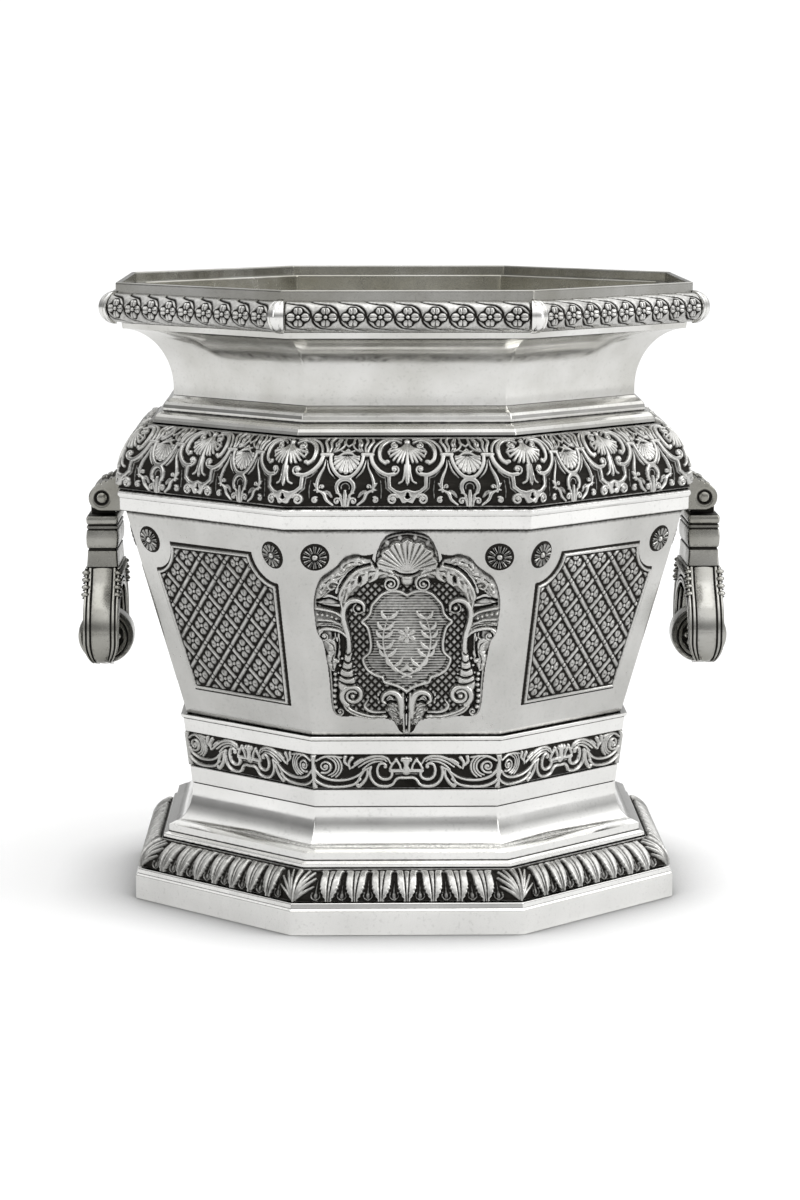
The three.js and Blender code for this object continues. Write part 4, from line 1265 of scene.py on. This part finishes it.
def build_borders():
    foot, head = bottom("strapwork_band"), top("strapwork_band")
    size, reach, rise, ledge = apothem("strapwork_band"), 16, 22, 2.2
    swell = ellipse(size - reach, foot + 2.7, reach, rise, -7, 74.5, 60)
    step = 0.22
    height = strapwork(step)
    height = np.vstack([height, np.repeat(height[-1:], round(ledge / step), axis=0)])
    border("strapwork", "strapwork_band", height, swell + [(swell[-1][0] - ledge, head)],
           depth=1.25, crown=0.2, back=-2.4, keep=0.62, bare=1.45, step=step)

    face = [(lower_face(z) + FRIEZE_PROUD, z) for z in (FRIEZE_FOOT, FRIEZE_HEAD)]
    border("frieze", "scroll_frieze", frieze(0.2), face,
           depth=1.2, crown=0.05, back=-1.6, keep=0.6, bare=0.78)

    foot, size = bottom("foot_leaf_border"), apothem("foot_leaf_border")
    reach, rise = 12.2, 11.07
    ovolo = ellipse(size - reach, foot, reach, rise, 0, 73, 40)
    border("leaf_border", "foot_leaf_border", leaf_border(step), ovolo,
           depth=1.3, crown=0.1, back=-2.4, keep=0.6, bare=2.4, step=step)

    level = (bottom("rim_flower_strip_1") + top("rim_flower_strip_1")) / 2
    size = apothem("rim_flower_strip_1")
    half_round = ellipse(size - STRIP_RADIUS, level, STRIP_RADIUS, STRIP_RADIUS, -90, 90, 40)
    border("flower_strip", "rim_flower_strip_{}", flower_strip(0.2), half_round,
           depth=1.0, crown=0.1, back=-1.5, keep=0.55, bare=1.5, half=STRIP_HALF)


def build_plates():
    step = 0.22
    x, y, height, inside = diaper(step)
    oxide = oxide_of(height, step, 0.1, 1.6)
    panel = wall_plate("diaper_front_right", x, y, height * 0.95 + 0.15, inside, -0.4, oxide, 0.55)
    panel.data.transform(Matrix.Rotation(SIDE_TURN, 4, "Z"))
    for side in (1, 2, 3, 5, 6, 7):
        name = SIDE_NAMES[side]
        copy = panel if side == 1 else turned_copy(panel, f"diaper_{name}", side - 1)
        place(copy, cast, "bucket", "cast_silver_oxidised", f"diaper_panel_{name}")

    step = 0.2
    x, y, height, inside = cartouche(step)
    oxide = np.maximum(oxide_of(height, step, 0.45, 2.6), np.clip(0.8 - 0.7 * inside, 0, 1))
    front = wall_plate("cartouche_relief_front", x, y, height, inside, -0.5, oxide, 0.5)
    place(front, cast, "bucket", "cast_silver_oxidised", "cartouche_front")
    place(turned_copy(front, "cartouche_relief_back", 4), cast, "bucket", "cast_silver_oxidised",
          "cartouche_back")


def rosette(name):
    """A twelve-petalled boss in a dark dished rim, standing on the wall of side 0 at the right."""
    petals, rings, around = 12, 26, 168
    across, up, radius = BOSS_ACROSS, BOSS_UP, 5.3
    away = np.linspace(0, radius, rings)[1:]
    turn = np.linspace(0, 2 * pi, around, endpoint=False)
    r, t = np.meshgrid(away, turn, indexing="ij")
    wave = np.abs(np.cos(petals * t / 2))
    length = 4.2 + 0.45 * wave
    petal = 0.15 + 0.95 * wave ** 0.9 * np.clip((length - r) / 0.5, 0, 1)
    petal *= 1 - 0.55 * np.exp(-((wave - 1) * r / 0.16) ** 2)
    petal *= np.clip((r - 1.15) / 0.4, 0, 1)
    boss = 1.45 * np.sqrt(np.clip(1 - (r / 1.25) ** 2, 0, 1))
    height = np.maximum.reduce([petal, boss, 0 * r + 0.12])
    oxide = 1 - np.clip((height - 0.4) / 0.6, 0, 1)
    height[-1] = -0.35
    x = np.concatenate([[across], (across + r * np.cos(t)).ravel()])
    y = np.concatenate([[up], (up + r * np.sin(t)).ravel()])
    points = wall_point(0, x, y, np.concatenate([[1.45], height.ravel()]))
    faces = [(0, 1 + i, 1 + (i + 1) % around) for i in range(around)]
    for j in range(len(away) - 1):
        for i in range(around):
            low, right = 1 + j * around, (i + 1) % around
            faces.append((low + i, low + around + i, low + around + right, low + right))
    uv = np.stack([(x - across) / radius, (y - up) / radius], axis=1) * 0.49 + 0.5
    return relief_mesh(name, points, faces, uv, np.concatenate([[0.0], oxide.ravel()]), 1.0)


def build_rosettes():
    right = rosette("rosette_boss_front_b")
    left_mesh = right.data.copy()
    left_mesh.transform(Matrix.Translation((-2 * BOSS_ACROSS * MM, 0, 0)))
    left = add_object("rosette_boss_front_a", left_mesh)
    for side, side_name in enumerate(SIDE_NAMES):
        for original, letter in ((left, "a"), (right, "b")):
            name = f"rosette_boss_{side_name}_{letter}"
            boss = original if side == 0 else turned_copy(original, name, side)
            place(boss, cast, "bucket", "cast_silver_oxidised", f"rosette_{side_name}_{letter}")


def build_corner_straps():
    """A plain half-round strap over each rim corner, with a fine bead near both ends."""
    level = (bottom("rim_corner_strap_1") + top("rim_corner_strap_1")) / 2
    radius = (top("rim_corner_strap_1") - bottom("rim_corner_strap_1")) / 2
    middle = apothem("rim_flower_strip_1") - STRIP_RADIUS
    start = STRIP_HALF + 0.3
    bead = [(0.0, -0.25), (0.15, 0.0), (0.9, 0.0), (1.0, -0.35), (1.35, -0.35), (1.45, 0.0), (1.8, 0.0)]
    c, s = cos(SIDE_TURN), sin(SIDE_TURN)
    rows = []
    for t in np.radians(np.linspace(-90, 90, 25)):
        near = [(start + distance, -middle - (radius + offset) * cos(t), level + (radius + offset) * sin(t))
                for distance, offset in bead]
        corner = [(x, y, level + radius * sin(t)) for x, y in octagon(middle + radius * cos(t), 2.0, 6)[:9]]
        far = [(-x * c - y * s, y * c - x * s, z) for x, y, z in reversed(near)]
        rows.append(near + corner + far)
    points = np.array(rows)
    count, columns = points.shape[:2]
    faces = grid_faces(count, columns).tolist()
    faces.append(tuple(range(0, count * columns, columns))[::-1])
    faces.append(tuple(range(columns - 1, count * columns, columns)))
    first = new_mesh("corner_strap_1", points.reshape(-1, 3), faces)
    rework(first.data, close_gaps)
    first.data.set_sharp_from_angle(angle=radians(CREASE))
    for side in range(SIDES):
        strap = first if side == 0 else turned_copy(first, f"corner_strap_{side + 1}", side)
        place(strap, polished, "bucket", "polished_silver", f"rim_corner_strap_{side + 1}")


build_borders()
build_plates()
build_rosettes()
build_corner_straps()


# ---------------------------------------------------------------- liner
def build_liner():
    """The lift-out lining: a tapering tub that follows the neck and sits on the rim's ledge."""
    foot, head = bottom("liner"), top("liner")
    flange, wall = apothem("liner"), apothem("liner") - 2.1
    gap = SHEET + 0.6
    neck = [(a - gap, z) for a, z in neck_flare(100, 22) if a - gap < wall - 1]
    tub, sheet, oxide_reach = 74.4, 1.5, 3.0
    under = head - 1.6
    outer = [(0.0, foot), (tub, foot)] + neck
    outer += [(wall, neck[-1][1] + 2.5), (wall, under), (flange, under), (flange, head)]
    inner = [(wall - sheet, head), (wall - sheet, neck[-1][1] + 3)]
    inner += [(a - sheet, z + 0.4) for a, z in neck[::-1]]
    inner += [(tub - sheet, foot + sheet), (0.0, foot + sheet)]
    profile = soften(outer + inner, 0.5, closed=False)
    profile.insert(-1, (tub - sheet - oxide_reach, foot + sheet))
    profile.insert(1, (tub - oxide_reach, foot))
    tub_mesh = octagon_ring("liner_fine", profile, 1.6)
    rework(tub_mesh.data, weld)
    place(tub_mesh, lining, "liner", "liner_silver", "liner")


# ---------------------------------------------------------------- handles
def pivot_of(hand):
    """Where a handle's hinge pin lies, and the turn that carries the right handle's shape to it."""
    low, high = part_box(f"hinge_pin_{hand}")
    middle = (low + high) / 2
    return Matrix.Translation(middle) @ Matrix.Rotation(0 if hand == "right" else pi, 4, "Z")


def part_mesh(name, chunks):
    """One mesh from several (points, faces, oxide) chunks, all drawn about the pin in mm."""
    points, faces, oxide = [], [], []
    for chunk_points, chunk_faces, chunk_oxide in chunks:
        start = len(points)
        points += [tuple(p) for p in chunk_points]
        faces += [tuple(start + corner for corner in face) for face in chunk_faces]
        oxide += list(chunk_oxide)
    piece = new_mesh(name, points, faces)
    hold_oxide(piece.data, oxide)
    rework(piece.data, face_outward)
    piece.data.set_sharp_from_angle(angle=radians(CREASE))
    return piece


def for_each_hand(piece, body, node):
    """Sets a piece drawn about the pin on the right handle, and a copy on the left."""
    left = add_object(f"{piece.name}_left", piece.data.copy())
    for hand, copy in (("right", piece), ("left", left)):
        copy.data.transform(pivot_of(hand))
        place(copy, handle_metal, body.format(hand), "handle_silver", node.format(hand))


def turned_chunk(profile, oxide, around=64):
    """A shape turned about the pin's direction from (radius, y) points, as a chunk."""
    points, held = [], []
    for (radius, y), dark in zip(profile, oxide):
        for t in np.linspace(0, 2 * pi, around, endpoint=False):
            points.append((radius * cos(t), y, radius * sin(t)))
            held.append(dark)
    faces = swept_faces(len(profile), around, close_rows=False)
    faces.append(tuple(range(around)))
    faces.append(tuple(range(len(points) - 1, len(points) - around - 1, -1)))
    return points, faces, held


def set_at(chunk, centre, scale=(1, 1, 1)):
    """A chunk stretched about its own origin and moved to a centre."""
    points, faces, oxide = chunk
    return (np.array(points) * scale + centre).tolist(), faces, oxide


def ball_chunk(centre, radii, oxide=0.0, rings=9, around=16):
    """A small rounded lobe."""
    profile = [(sin(t), -cos(t)) for t in np.linspace(0.05, pi - 0.05, rings)]
    return set_at(turned_chunk(profile, [oxide] * rings, around), centre, radii)


def inset(outline, distance):
    """A closed outline moved inward along its normals; it runs anticlockwise.

    distance is one number, or one for each point of the outline.
    """
    run = np.roll(outline, -1, axis=0) - np.roll(outline, 1, axis=0)
    run /= np.maximum(np.linalg.norm(run, axis=1), 1e-9)[:, None]
    return outline + np.reshape(distance, (-1, 1)) * np.stack([-run[:, 1], run[:, 0]], axis=1)


def loop_chunk(outline, layers, to_point, room=np.inf):
    """Closed outlines stacked in layers of (inset, level, oxide) and capped at both ends.

    room is the most that each point may move inward, so that thin stretches don't cross over.
    """
    points, held = [], []
    for distance, level, dark in layers:
        for u, v in inset(outline, np.minimum(distance, room)):
            points.append(to_point(u, v, level))
            held.append(dark)
    count = len(outline)
    faces = swept_faces(len(layers), count, close_rows=False)
    # The caps are cut into triangles on the uncrossed outline, so none of them spans an opening.
    last = len(points) - count
    for cap in tessellate_polygon([[Vector((u, v, 0)) for u, v in outline]]):
        (ax, ay), (bx, by), (cx, cy) = (outline[i] for i in cap)
        if (bx - ax) * (cy - ay) < (by - ay) * (cx - ax):
            cap = cap[::-1]
        faces.append(tuple(cap))
        faces.append(tuple(last + i for i in reversed(cap)))
    return points, faces, held


def dense(points, step=0.7):
    """A closed outline cut into even steps of about one length, keeping its corners."""
    points = np.array(points, float)
    out = []
    for start, end in zip(points, np.roll(points, -1, axis=0)):
        count = max(1, round(hypot(*(end - start)) / step))
        out += [start + (end - start) * k / count for k in range(count)]
    return np.array(out)


PIN_RADIUS = 1.9
STEM_TOP, STEM_FOOT, STEM_HALF, STEM_DEPTH = -6.6, -27.0, 17.5, 6.0
BAIL_DEPTH, GRIP_LEVEL = 6.5, -54.2


def bezier(points, steps=14):
    """Points along a quadratic or cubic Bezier curve."""
    points = np.array(points, float)
    rows = []
    for t in np.linspace(0, 1, steps + 1):
        rest = points
        while len(rest) > 1:
            rest = rest[:-1] * (1 - t) + rest[1:] * t
        rows.append(rest[0])
    return np.array(rows)


def bail_outline():
    """The bail seen along its swing, (y, z): both arms, their feet turned in to the knop, and the arch."""
    arm, toe, arch = 32.5, 9.4, 26.0
    foot, fall, thick, corner = -61.6, 2.8, 2.4, 0.8
    arch_level = GRIP_LEVEL + 2.2
    right = np.vstack([
        [(STEM_HALF, STEM_FOOT + 0.6)],
        bezier([(20.5, -31), (23.5, -36), (arm, -39), (arm, -50.2)]),
        bezier([(arm, -50.2), (arm, foot), (24.5, foot)])[1:],
        [(toe, foot - fall), (toe, foot - fall + thick)],
        bezier([(arch - corner, foot + thick), (arch, foot + thick), (arch, foot + thick + corner)], 8),
    ])
    over = [(arch * cos(t), arch_level + 17 * sin(t)) for t in np.linspace(0, pi, 60)]
    left = right[::-1] * (-1, 1)
    return dense(np.vstack([right, over, left]), 0.9)


def narrowed(z):
    """How much of its width the bail keeps where its foot rounds under."""
    start, fall = -52.5, 9.1
    return 1 - 0.5 * np.clip((start - z) / fall, 0, 1) ** 2


def build_bails():
    outline = bail_outline()
    y, z = outline.T
    if np.sum(y * np.roll(z, -1) - np.roll(y, -1) * z) < 0:
        outline = outline[::-1]
    # Each moulding line is (inset, drop from the face, oxide), from one face to the middle.
    mouldings = [
        (3.1, 0.3, 0.1), (2.3, 0.3, 1.0), (2.2, 0, 0.2), (1.4, 0, 0.0), (1.3, 0.5, 1.0), (0.9, 0.5, 1.0),
        (0.8, 0, 0.1), (0.25, 0, 0.0), (0.0, 0.25, 0.0), (0.0, 0.75, 0.05), (0.75, 0.95, 1.0),
        (0.75, 1.35, 1.0), (0.1, 1.5, 0.1), (0.0, 1.9, 0.0), (0.1, 2.3, 0.1), (0.85, 2.45, 1.0),
        (0.85, 2.8, 0.9), (0.45, 3.1, 0.15), (0.15, 4.6, 0.0), (0.05, BAIL_DEPTH, 0.0),
    ]
    layers = [(distance, BAIL_DEPTH - drop, dark) for distance, drop, dark in mouldings]
    layers += [(distance, -level, dark) for distance, level, dark in layers[-2::-1]]
    # The thin toe leaves little room for the inset lines; higher up there is room for all of them.
    toe_room, full_room, toe_level = 1.1, 3.2, -59.5
    room = toe_room + (full_room - toe_room) * np.clip((outline[:, 1] - toe_level) / 4, 0, 1)
    bail = loop_chunk(outline, layers, lambda y, z, x: (x * narrowed(z), y, z), room)

    lobes = leaf_lobes()
    piece = part_mesh("handle_bail", [bail, tongue_chunk(), stem_chunk()] + lobes)
    for_each_hand(piece, "{}_handle", "handle_{}")


def tongue_chunk():
    """The tongue round the pin, between the bracket's ears."""
    radius, half, foot = 4.6, 9.7, STEM_TOP - 1
    outline = [(radius * cos(t), radius * sin(t)) for t in np.linspace(0, pi, 30)]
    outline += [(-radius, foot), (radius, foot)]
    layers = [(0.5, -half, 1.0), (0.0, 0.5 - half, 0.15), (0.0, half - 0.5, 0.15), (0.5, half, 1.0)]
    return loop_chunk(np.array(outline), layers, lambda x, z, y: (x, y, z))


def stem_chunk():
    """The moulded block between the tongue and the arms, in level rings with rounded corners."""
    # Each ring is (drop from the top, how far its face is sunk, oxide).
    rings = [
        (0.1, 0.9, 1.0), (0.4, 0.35, 0.3), (1.2, 0.05, 0.0), (2.6, 0.1, 0.0), (3.2, 0.3, 0.2),
        (3.5, 0.75, 0.95), (3.9, 0.75, 0.9), (4.1, 0.25, 0.2), (4.9, 0.15, 0.1), (5.1, 0.6, 0.9),
        (5.5, 0.6, 0.8), (5.9, 0.2, 0.1), (8.2, -0.05, 0.0), (10.9, 0.05, 0.0), (12.2, 0.35, 0.2),
        (12.6, 0.85, 1.0), (13.2, 0.85, 1.0), (13.5, 0.45, 0.1), (15.5, 0.4, 0.0), (18.6, 0.15, 0.0),
        (19.4, 0.1, 0.2), (19.8, 0.7, 1.0), (21.0, 0.7, 1.0),
    ]
    corner, rounding = np.radians(np.linspace(0, 90, 7)), 0.9
    points, held = [], []
    for drop, sink, dark in rings:
        half_x, half_y = STEM_DEPTH - sink - rounding, STEM_HALF - sink - rounding
        for quarter, (sx, sy) in enumerate(((1, 1), (-1, 1), (-1, -1), (1, -1))):
            for turn in corner + quarter * pi / 2:
                points.append((sx * half_x + rounding * cos(turn), sy * half_y + rounding * sin(turn),
                               STEM_TOP - drop))
                held.append(dark)
    columns = len(corner) * 4
    faces = swept_faces(len(rings), columns, close_rows=False)
    faces += [tuple(range(columns)), tuple(range(len(points) - 1, len(points) - columns - 1, -1))]
    return points, faces, held


def leaf_lobes():
    """Leaf tips down the shoulders of both arms, and a row along the foot of the stem."""
    lobes = []
    for turn in (-1, 1):
        for k in range(4):
            z, y = STEM_FOOT - 1.2 - 2.5 * k, 17.9 + 1.45 * k + 0.18 * k * k
            lobes += [ball_chunk((sx * 6.0, turn * y, z), (1.7, 1.8, 1.0)) for sx in (-1, 1)]
            lobes += [ball_chunk((sx * 5.4, turn * (y + 0.1), z - 1.25), (2.0, 1.6, 0.45), 1.0, 5, 12)
                      for sx in (-1, 1)]
    for k in range(-5, 6):
        for face in (-1, 1):
            lobes.append(ball_chunk((face * 5.9, 3.3 * k, STEM_FOOT - 1.6), (1.15, 1.5, 2.6 - 0.06 * abs(k))))
            lobes.append(ball_chunk((face * 5.9, 3.3 * k + 1.65, STEM_FOOT - 1.2), (0.75, 0.5, 1.6), 1.0,
                                    5, 10))
    return lobes


def build_grips():
    """The turned grip: rods to both arms and a flattened knop with ringed, petalled ends."""
    knop, half, waist, end = 10.6, 8.6, 3.1, 25.7
    # Each turned line is (radius, distance in from the rod's end or the knop's face, oxide).
    rod = [
        (0.05, 0, 0.5), (3.9, 0, 0.4), (4.2, 0.3, 0.0), (4.2, 1.9, 0.0), (3.8, 2.1, 1.0), (3.8, 2.5, 1.0),
        (4.1, 2.8, 0.0), (3.6, 3.9, 0.1), (waist, 5.0, 0.3), (waist - 0.2, 8.5, 0.2),
    ]
    flank = [
        (waist, -1.2, 0.3), (waist + 0.6, -0.7, 0.2), (waist + 0.6, 0, 0.5), (waist, 3.2, 1.0),
        (4.0, 3.0, 1.0), (6.4, 2.2, 0.9), (6.7, 1.3, 0.3), (7.1, 0.4, 0.0), (7.8, 0.1, 0.0),
        (8.2, 0.5, 0.2), (8.35, 1.3, 1.0), (8.6, 1.3, 1.0), (8.8, 0.7, 0.2), (9.3, 0.6, 0.0),
        (9.9, 1.1, 0.0), (10.3, 2.2, 0.0), (10.45, 2.9, 0.2), (10.2, 3.2, 1.0), (10.2, 3.5, 0.9),
        (10.5, 3.8, 0.1), (knop, 5.4, 0.0), (knop, half, 0.0),
    ]
    outer = [(r, end - drop, dark) for r, drop, dark in rod]
    outer += [(r, half - drop, dark) for r, drop, dark in flank]
    turned = [(r, -y, dark) for r, y, dark in outer] + outer[-2::-1]
    profile = [(r, y) for r, y, _ in turned]
    chunks = [set_at(turned_chunk(profile, [dark for _, _, dark in turned], 96), (0, 0, GRIP_LEVEL))]
    for k in range(10):
        t = k * 2 * pi / 10
        for side in (-1, 1):
            chunks.append(ball_chunk((5.1 * cos(t), side * (half - 2.5), GRIP_LEVEL + 5.1 * sin(t)),
                                     (1.25, 0.9, 1.25), 0.1, 7, 12))
    piece = part_mesh("handle_grip", chunks)
    for_each_hand(piece, "{}_handle", "handle_grip_{}")


def ray_lengths(outline, angles):
    """How far each direction runs from the pin before it meets a closed outline."""
    start = np.array(outline, float)
    edge = np.roll(start, -1, axis=0) - start
    lengths = []
    for t in angles:
        ahead = np.array([cos(t), sin(t)])
        cross = ahead[0] * edge[:, 1] - ahead[1] * edge[:, 0]
        cross = np.where(np.abs(cross) < 1e-12, 1e-12, cross)
        reach = (start[:, 0] * edge[:, 1] - start[:, 1] * edge[:, 0]) / cross
        share = (start[:, 0] * ahead[1] - start[:, 1] * ahead[0]) / cross
        hit = (reach > 0) & (share >= -1e-9) & (share <= 1 + 1e-9)
        lengths.append(reach[hit].min())
    return np.array(lengths)


def build_brackets():
    """Two ears on a plate, stepped along their sloping tops, with the pin in a dished hole."""
    base, foot, radius = -7.4, -4.8, 4.9
    steps = []
    top_from, top_to = np.array([2.0, 4.6]), np.array([base + 1.0, 8.4])
    along = (top_to - top_from) / 4
    rise = np.array([-along[1], along[0]]) / hypot(*along)
    for k in range(4):
        start = top_from + along * k
        steps += [start + rise * 0.1, start - rise * 0.45, start + along * 0.75 - rise * 0.45,
                  start + along * 0.86]
    outline = [(base, foot), (0.0, -radius)]
    outline += [(radius * cos(t), radius * sin(t)) for t in np.radians(np.linspace(-80, 62, 24))]
    outline += [tuple(p) for p in steps] + [tuple(top_to), (base, 6.0)]
    corners = np.arctan2([p[1] for p in outline], [p[0] for p in outline])
    angles = np.sort(np.concatenate([np.linspace(-pi, pi, 90, endpoint=False), corners]))
    angles = angles[np.concatenate([[True], np.diff(angles) > 1e-4])]
    reach = ray_lengths(outline, angles)
    chunks = []
    for side in (-1, 1):
        # Each line is (amount, y, oxide, whether the amount is measured in from the outer edge).
        section = [
            (2.65, 16.7, 1.0, False), (2.7, 17.2, 0.9, False), (3.2, 17.5, 0.1, False),
            (3.9, 17.5, 0.0, False), (0.8, 17.5, 0.0, True), (0.35, 17.5, 0.0, True),
            (0.0, 17.1, 0.0, True), (0.0, 10.4, 0.2, True), (0.4, 10.0, 0.4, True),
            (2.25, 10.0, 0.8, False), (2.25, 16.7, 1.0, False),
        ]
        points, held = [], []
        for amount, y, dark, from_edge in section:
            for t, length in zip(angles, reach):
                r = length - amount if from_edge else min(amount, length - 0.9)
                points.append((r * cos(t), side * y, r * sin(t)))
                held.append(dark)
        chunks.append((points, swept_faces(len(section), len(angles)), held))
    plate = np.array([(base, foot), (base + 1.8, foot), (base + 1.8, 8.0), (base + 1, 8.4), (base, 6.0)])
    chunks.append(loop_chunk(plate, [(0.0, -10.5, 0.3), (0.0, 10.5, 0.3)], lambda x, z, y: (x, y, z)))
    for_each_hand(part_mesh("handle_bracket", chunks), "bucket", "handle_bracket_{}")

    pin = [(0.05, -17.3), (PIN_RADIUS - 0.7, -17.25), (PIN_RADIUS, -16.8), (PIN_RADIUS, 16.8),
           (PIN_RADIUS - 0.7, 17.25), (0.05, 17.3)]
    for_each_hand(part_mesh("hinge_pin", [turned_chunk(pin, [0.0] * len(pin), 40)]), "bucket", "hinge_pin_{}")


build_liner()
build_bails()
build_grips()
build_brackets()


# ---------------------------------------------------------------- floor, light and camera
def add_floor():
    """A round pale floor: plain grey to reflections, and to the camera white with a soft contact shadow
    painted into its colour from ambient occlusion.
    """
    radius = 6.0
    rim = [(radius * cos(t), radius * sin(t), 0) for t in np.linspace(0, 2 * pi, 96, endpoint=False)]
    mesh = bpy.data.meshes.new("floor")
    mesh.from_pydata(rim, [], [tuple(range(len(rim)))])
    floor = add_object("floor", mesh)
    material = bpy.data.materials.new("pale_floor")
    material.use_nodes = True
    tree = material.node_tree
    shader = tree.nodes["Principled BSDF"]
    shader.inputs["Roughness"].default_value = 0.8
    shader.inputs["Specular IOR Level"].default_value = 0.1
    seen = tree.nodes.new("ShaderNodeLightPath")
    # Painted shadow: for camera rays, ambient occlusion darkens the floor's colour next to the bucket.
    near = tree.nodes.new("ShaderNodeAmbientOcclusion")
    near.inputs["Distance"].default_value = 0.035
    painted_contact_shadow = spread(tree, near.outputs["AO"], 0.5, 1.0, 0.28, 1.0)
    paint = blend_colours(tree, seen.outputs["Is Camera Ray"], (0.72, 0.72, 0.72), painted_contact_shadow)
    link(tree, paint, shader.inputs["Base Color"])
    mesh.materials.append(material)


def add_softbox(name, place_at, aim, size, power):
    """A soft rectangular light at one place, facing another."""
    data = bpy.data.lights.new(name, "AREA")
    data.shape = "RECTANGLE"
    data.size, data.size_y = size
    data.energy = power
    facing = (Vector(aim) - Vector(place_at)).to_track_quat("-Z", "Y").to_matrix().to_4x4()
    add_object(name, data).matrix_world = Matrix.Translation(place_at) @ facing


def add_world():
    """A pale studio sky that changes with height, so the polished faces show light and dark."""
    world = bpy.data.worlds.new("studio")
    bpy.context.scene.world = world
    world.use_nodes = True
    tree = world.node_tree
    where = tree.nodes.new("ShaderNodeTexCoord").outputs["Generated"]
    split = tree.nodes.new("ShaderNodeSeparateXYZ")
    link(tree, where, split.inputs[0])
    ramp = tree.nodes.new("ShaderNodeValToRGB")
    # Each stop is (height, brightness), from straight down at 0 to straight up at 1.
    stops = ((0.0, 0.6), (0.47, 0.5), (0.53, 0.42), (0.60, 0.30), (0.70, 0.62), (0.80, 1.2), (1.0, 1.3))
    while len(ramp.color_ramp.elements) < len(stops):
        ramp.color_ramp.elements.new(0.5)
    for element, (position, level) in zip(ramp.color_ramp.elements, stops):
        element.position = position
        element.color = (level, level, level, 1)
    link(tree, spread(tree, split.outputs["Z"], -1.0, 1.0, 0.0, 1.0), ramp.inputs["Fac"])
    to_the_right = spread(tree, split.outputs["X"], -0.9, 0.9, 0.65, 1.45)
    seen = tree.nodes.new("ShaderNodeLightPath")
    tinted = blend_colours(tree, 1.0, ramp.outputs["Color"], to_the_right, "MULTIPLY")
    sky = blend_colours(tree, seen.outputs["Is Camera Ray"], tinted, (1.1, 1.1, 1.1))
    link(tree, sky, tree.nodes["Background"].inputs["Color"])
    tree.nodes["Background"].inputs["Strength"].default_value = 1.0


def add_camera():
    """The view from the front, a little above the rim and turned slightly to the right."""
    data = bpy.data.cameras.new("camera")
    data.lens = 98.05
    data.shift_x = -0.0024
    camera = add_object("camera", data)
    camera.location = (-0.0196, -1.2395, 0.2847)
    down, aside = 8.175, 0.908
    camera.rotation_euler = (radians(90 - down), 0, radians(-aside))
    bpy.context.scene.camera = camera


add_floor()
add_world()
add_softbox("left_box", (-1.6, -0.8, 0.9), (0, 0, 0.12), (0.8, 1.4), 4)
add_softbox("right_box", (1.7, -0.6, 0.8), (0, 0, 0.12), (0.8, 1.4), 8)
add_softbox("top_box", (0, -0.2, 1.9), (0, 0, 0.1), (1.6, 1.2), 4)
add_camera()
bpy.context.scene.view_settings.view_transform = "Standard"
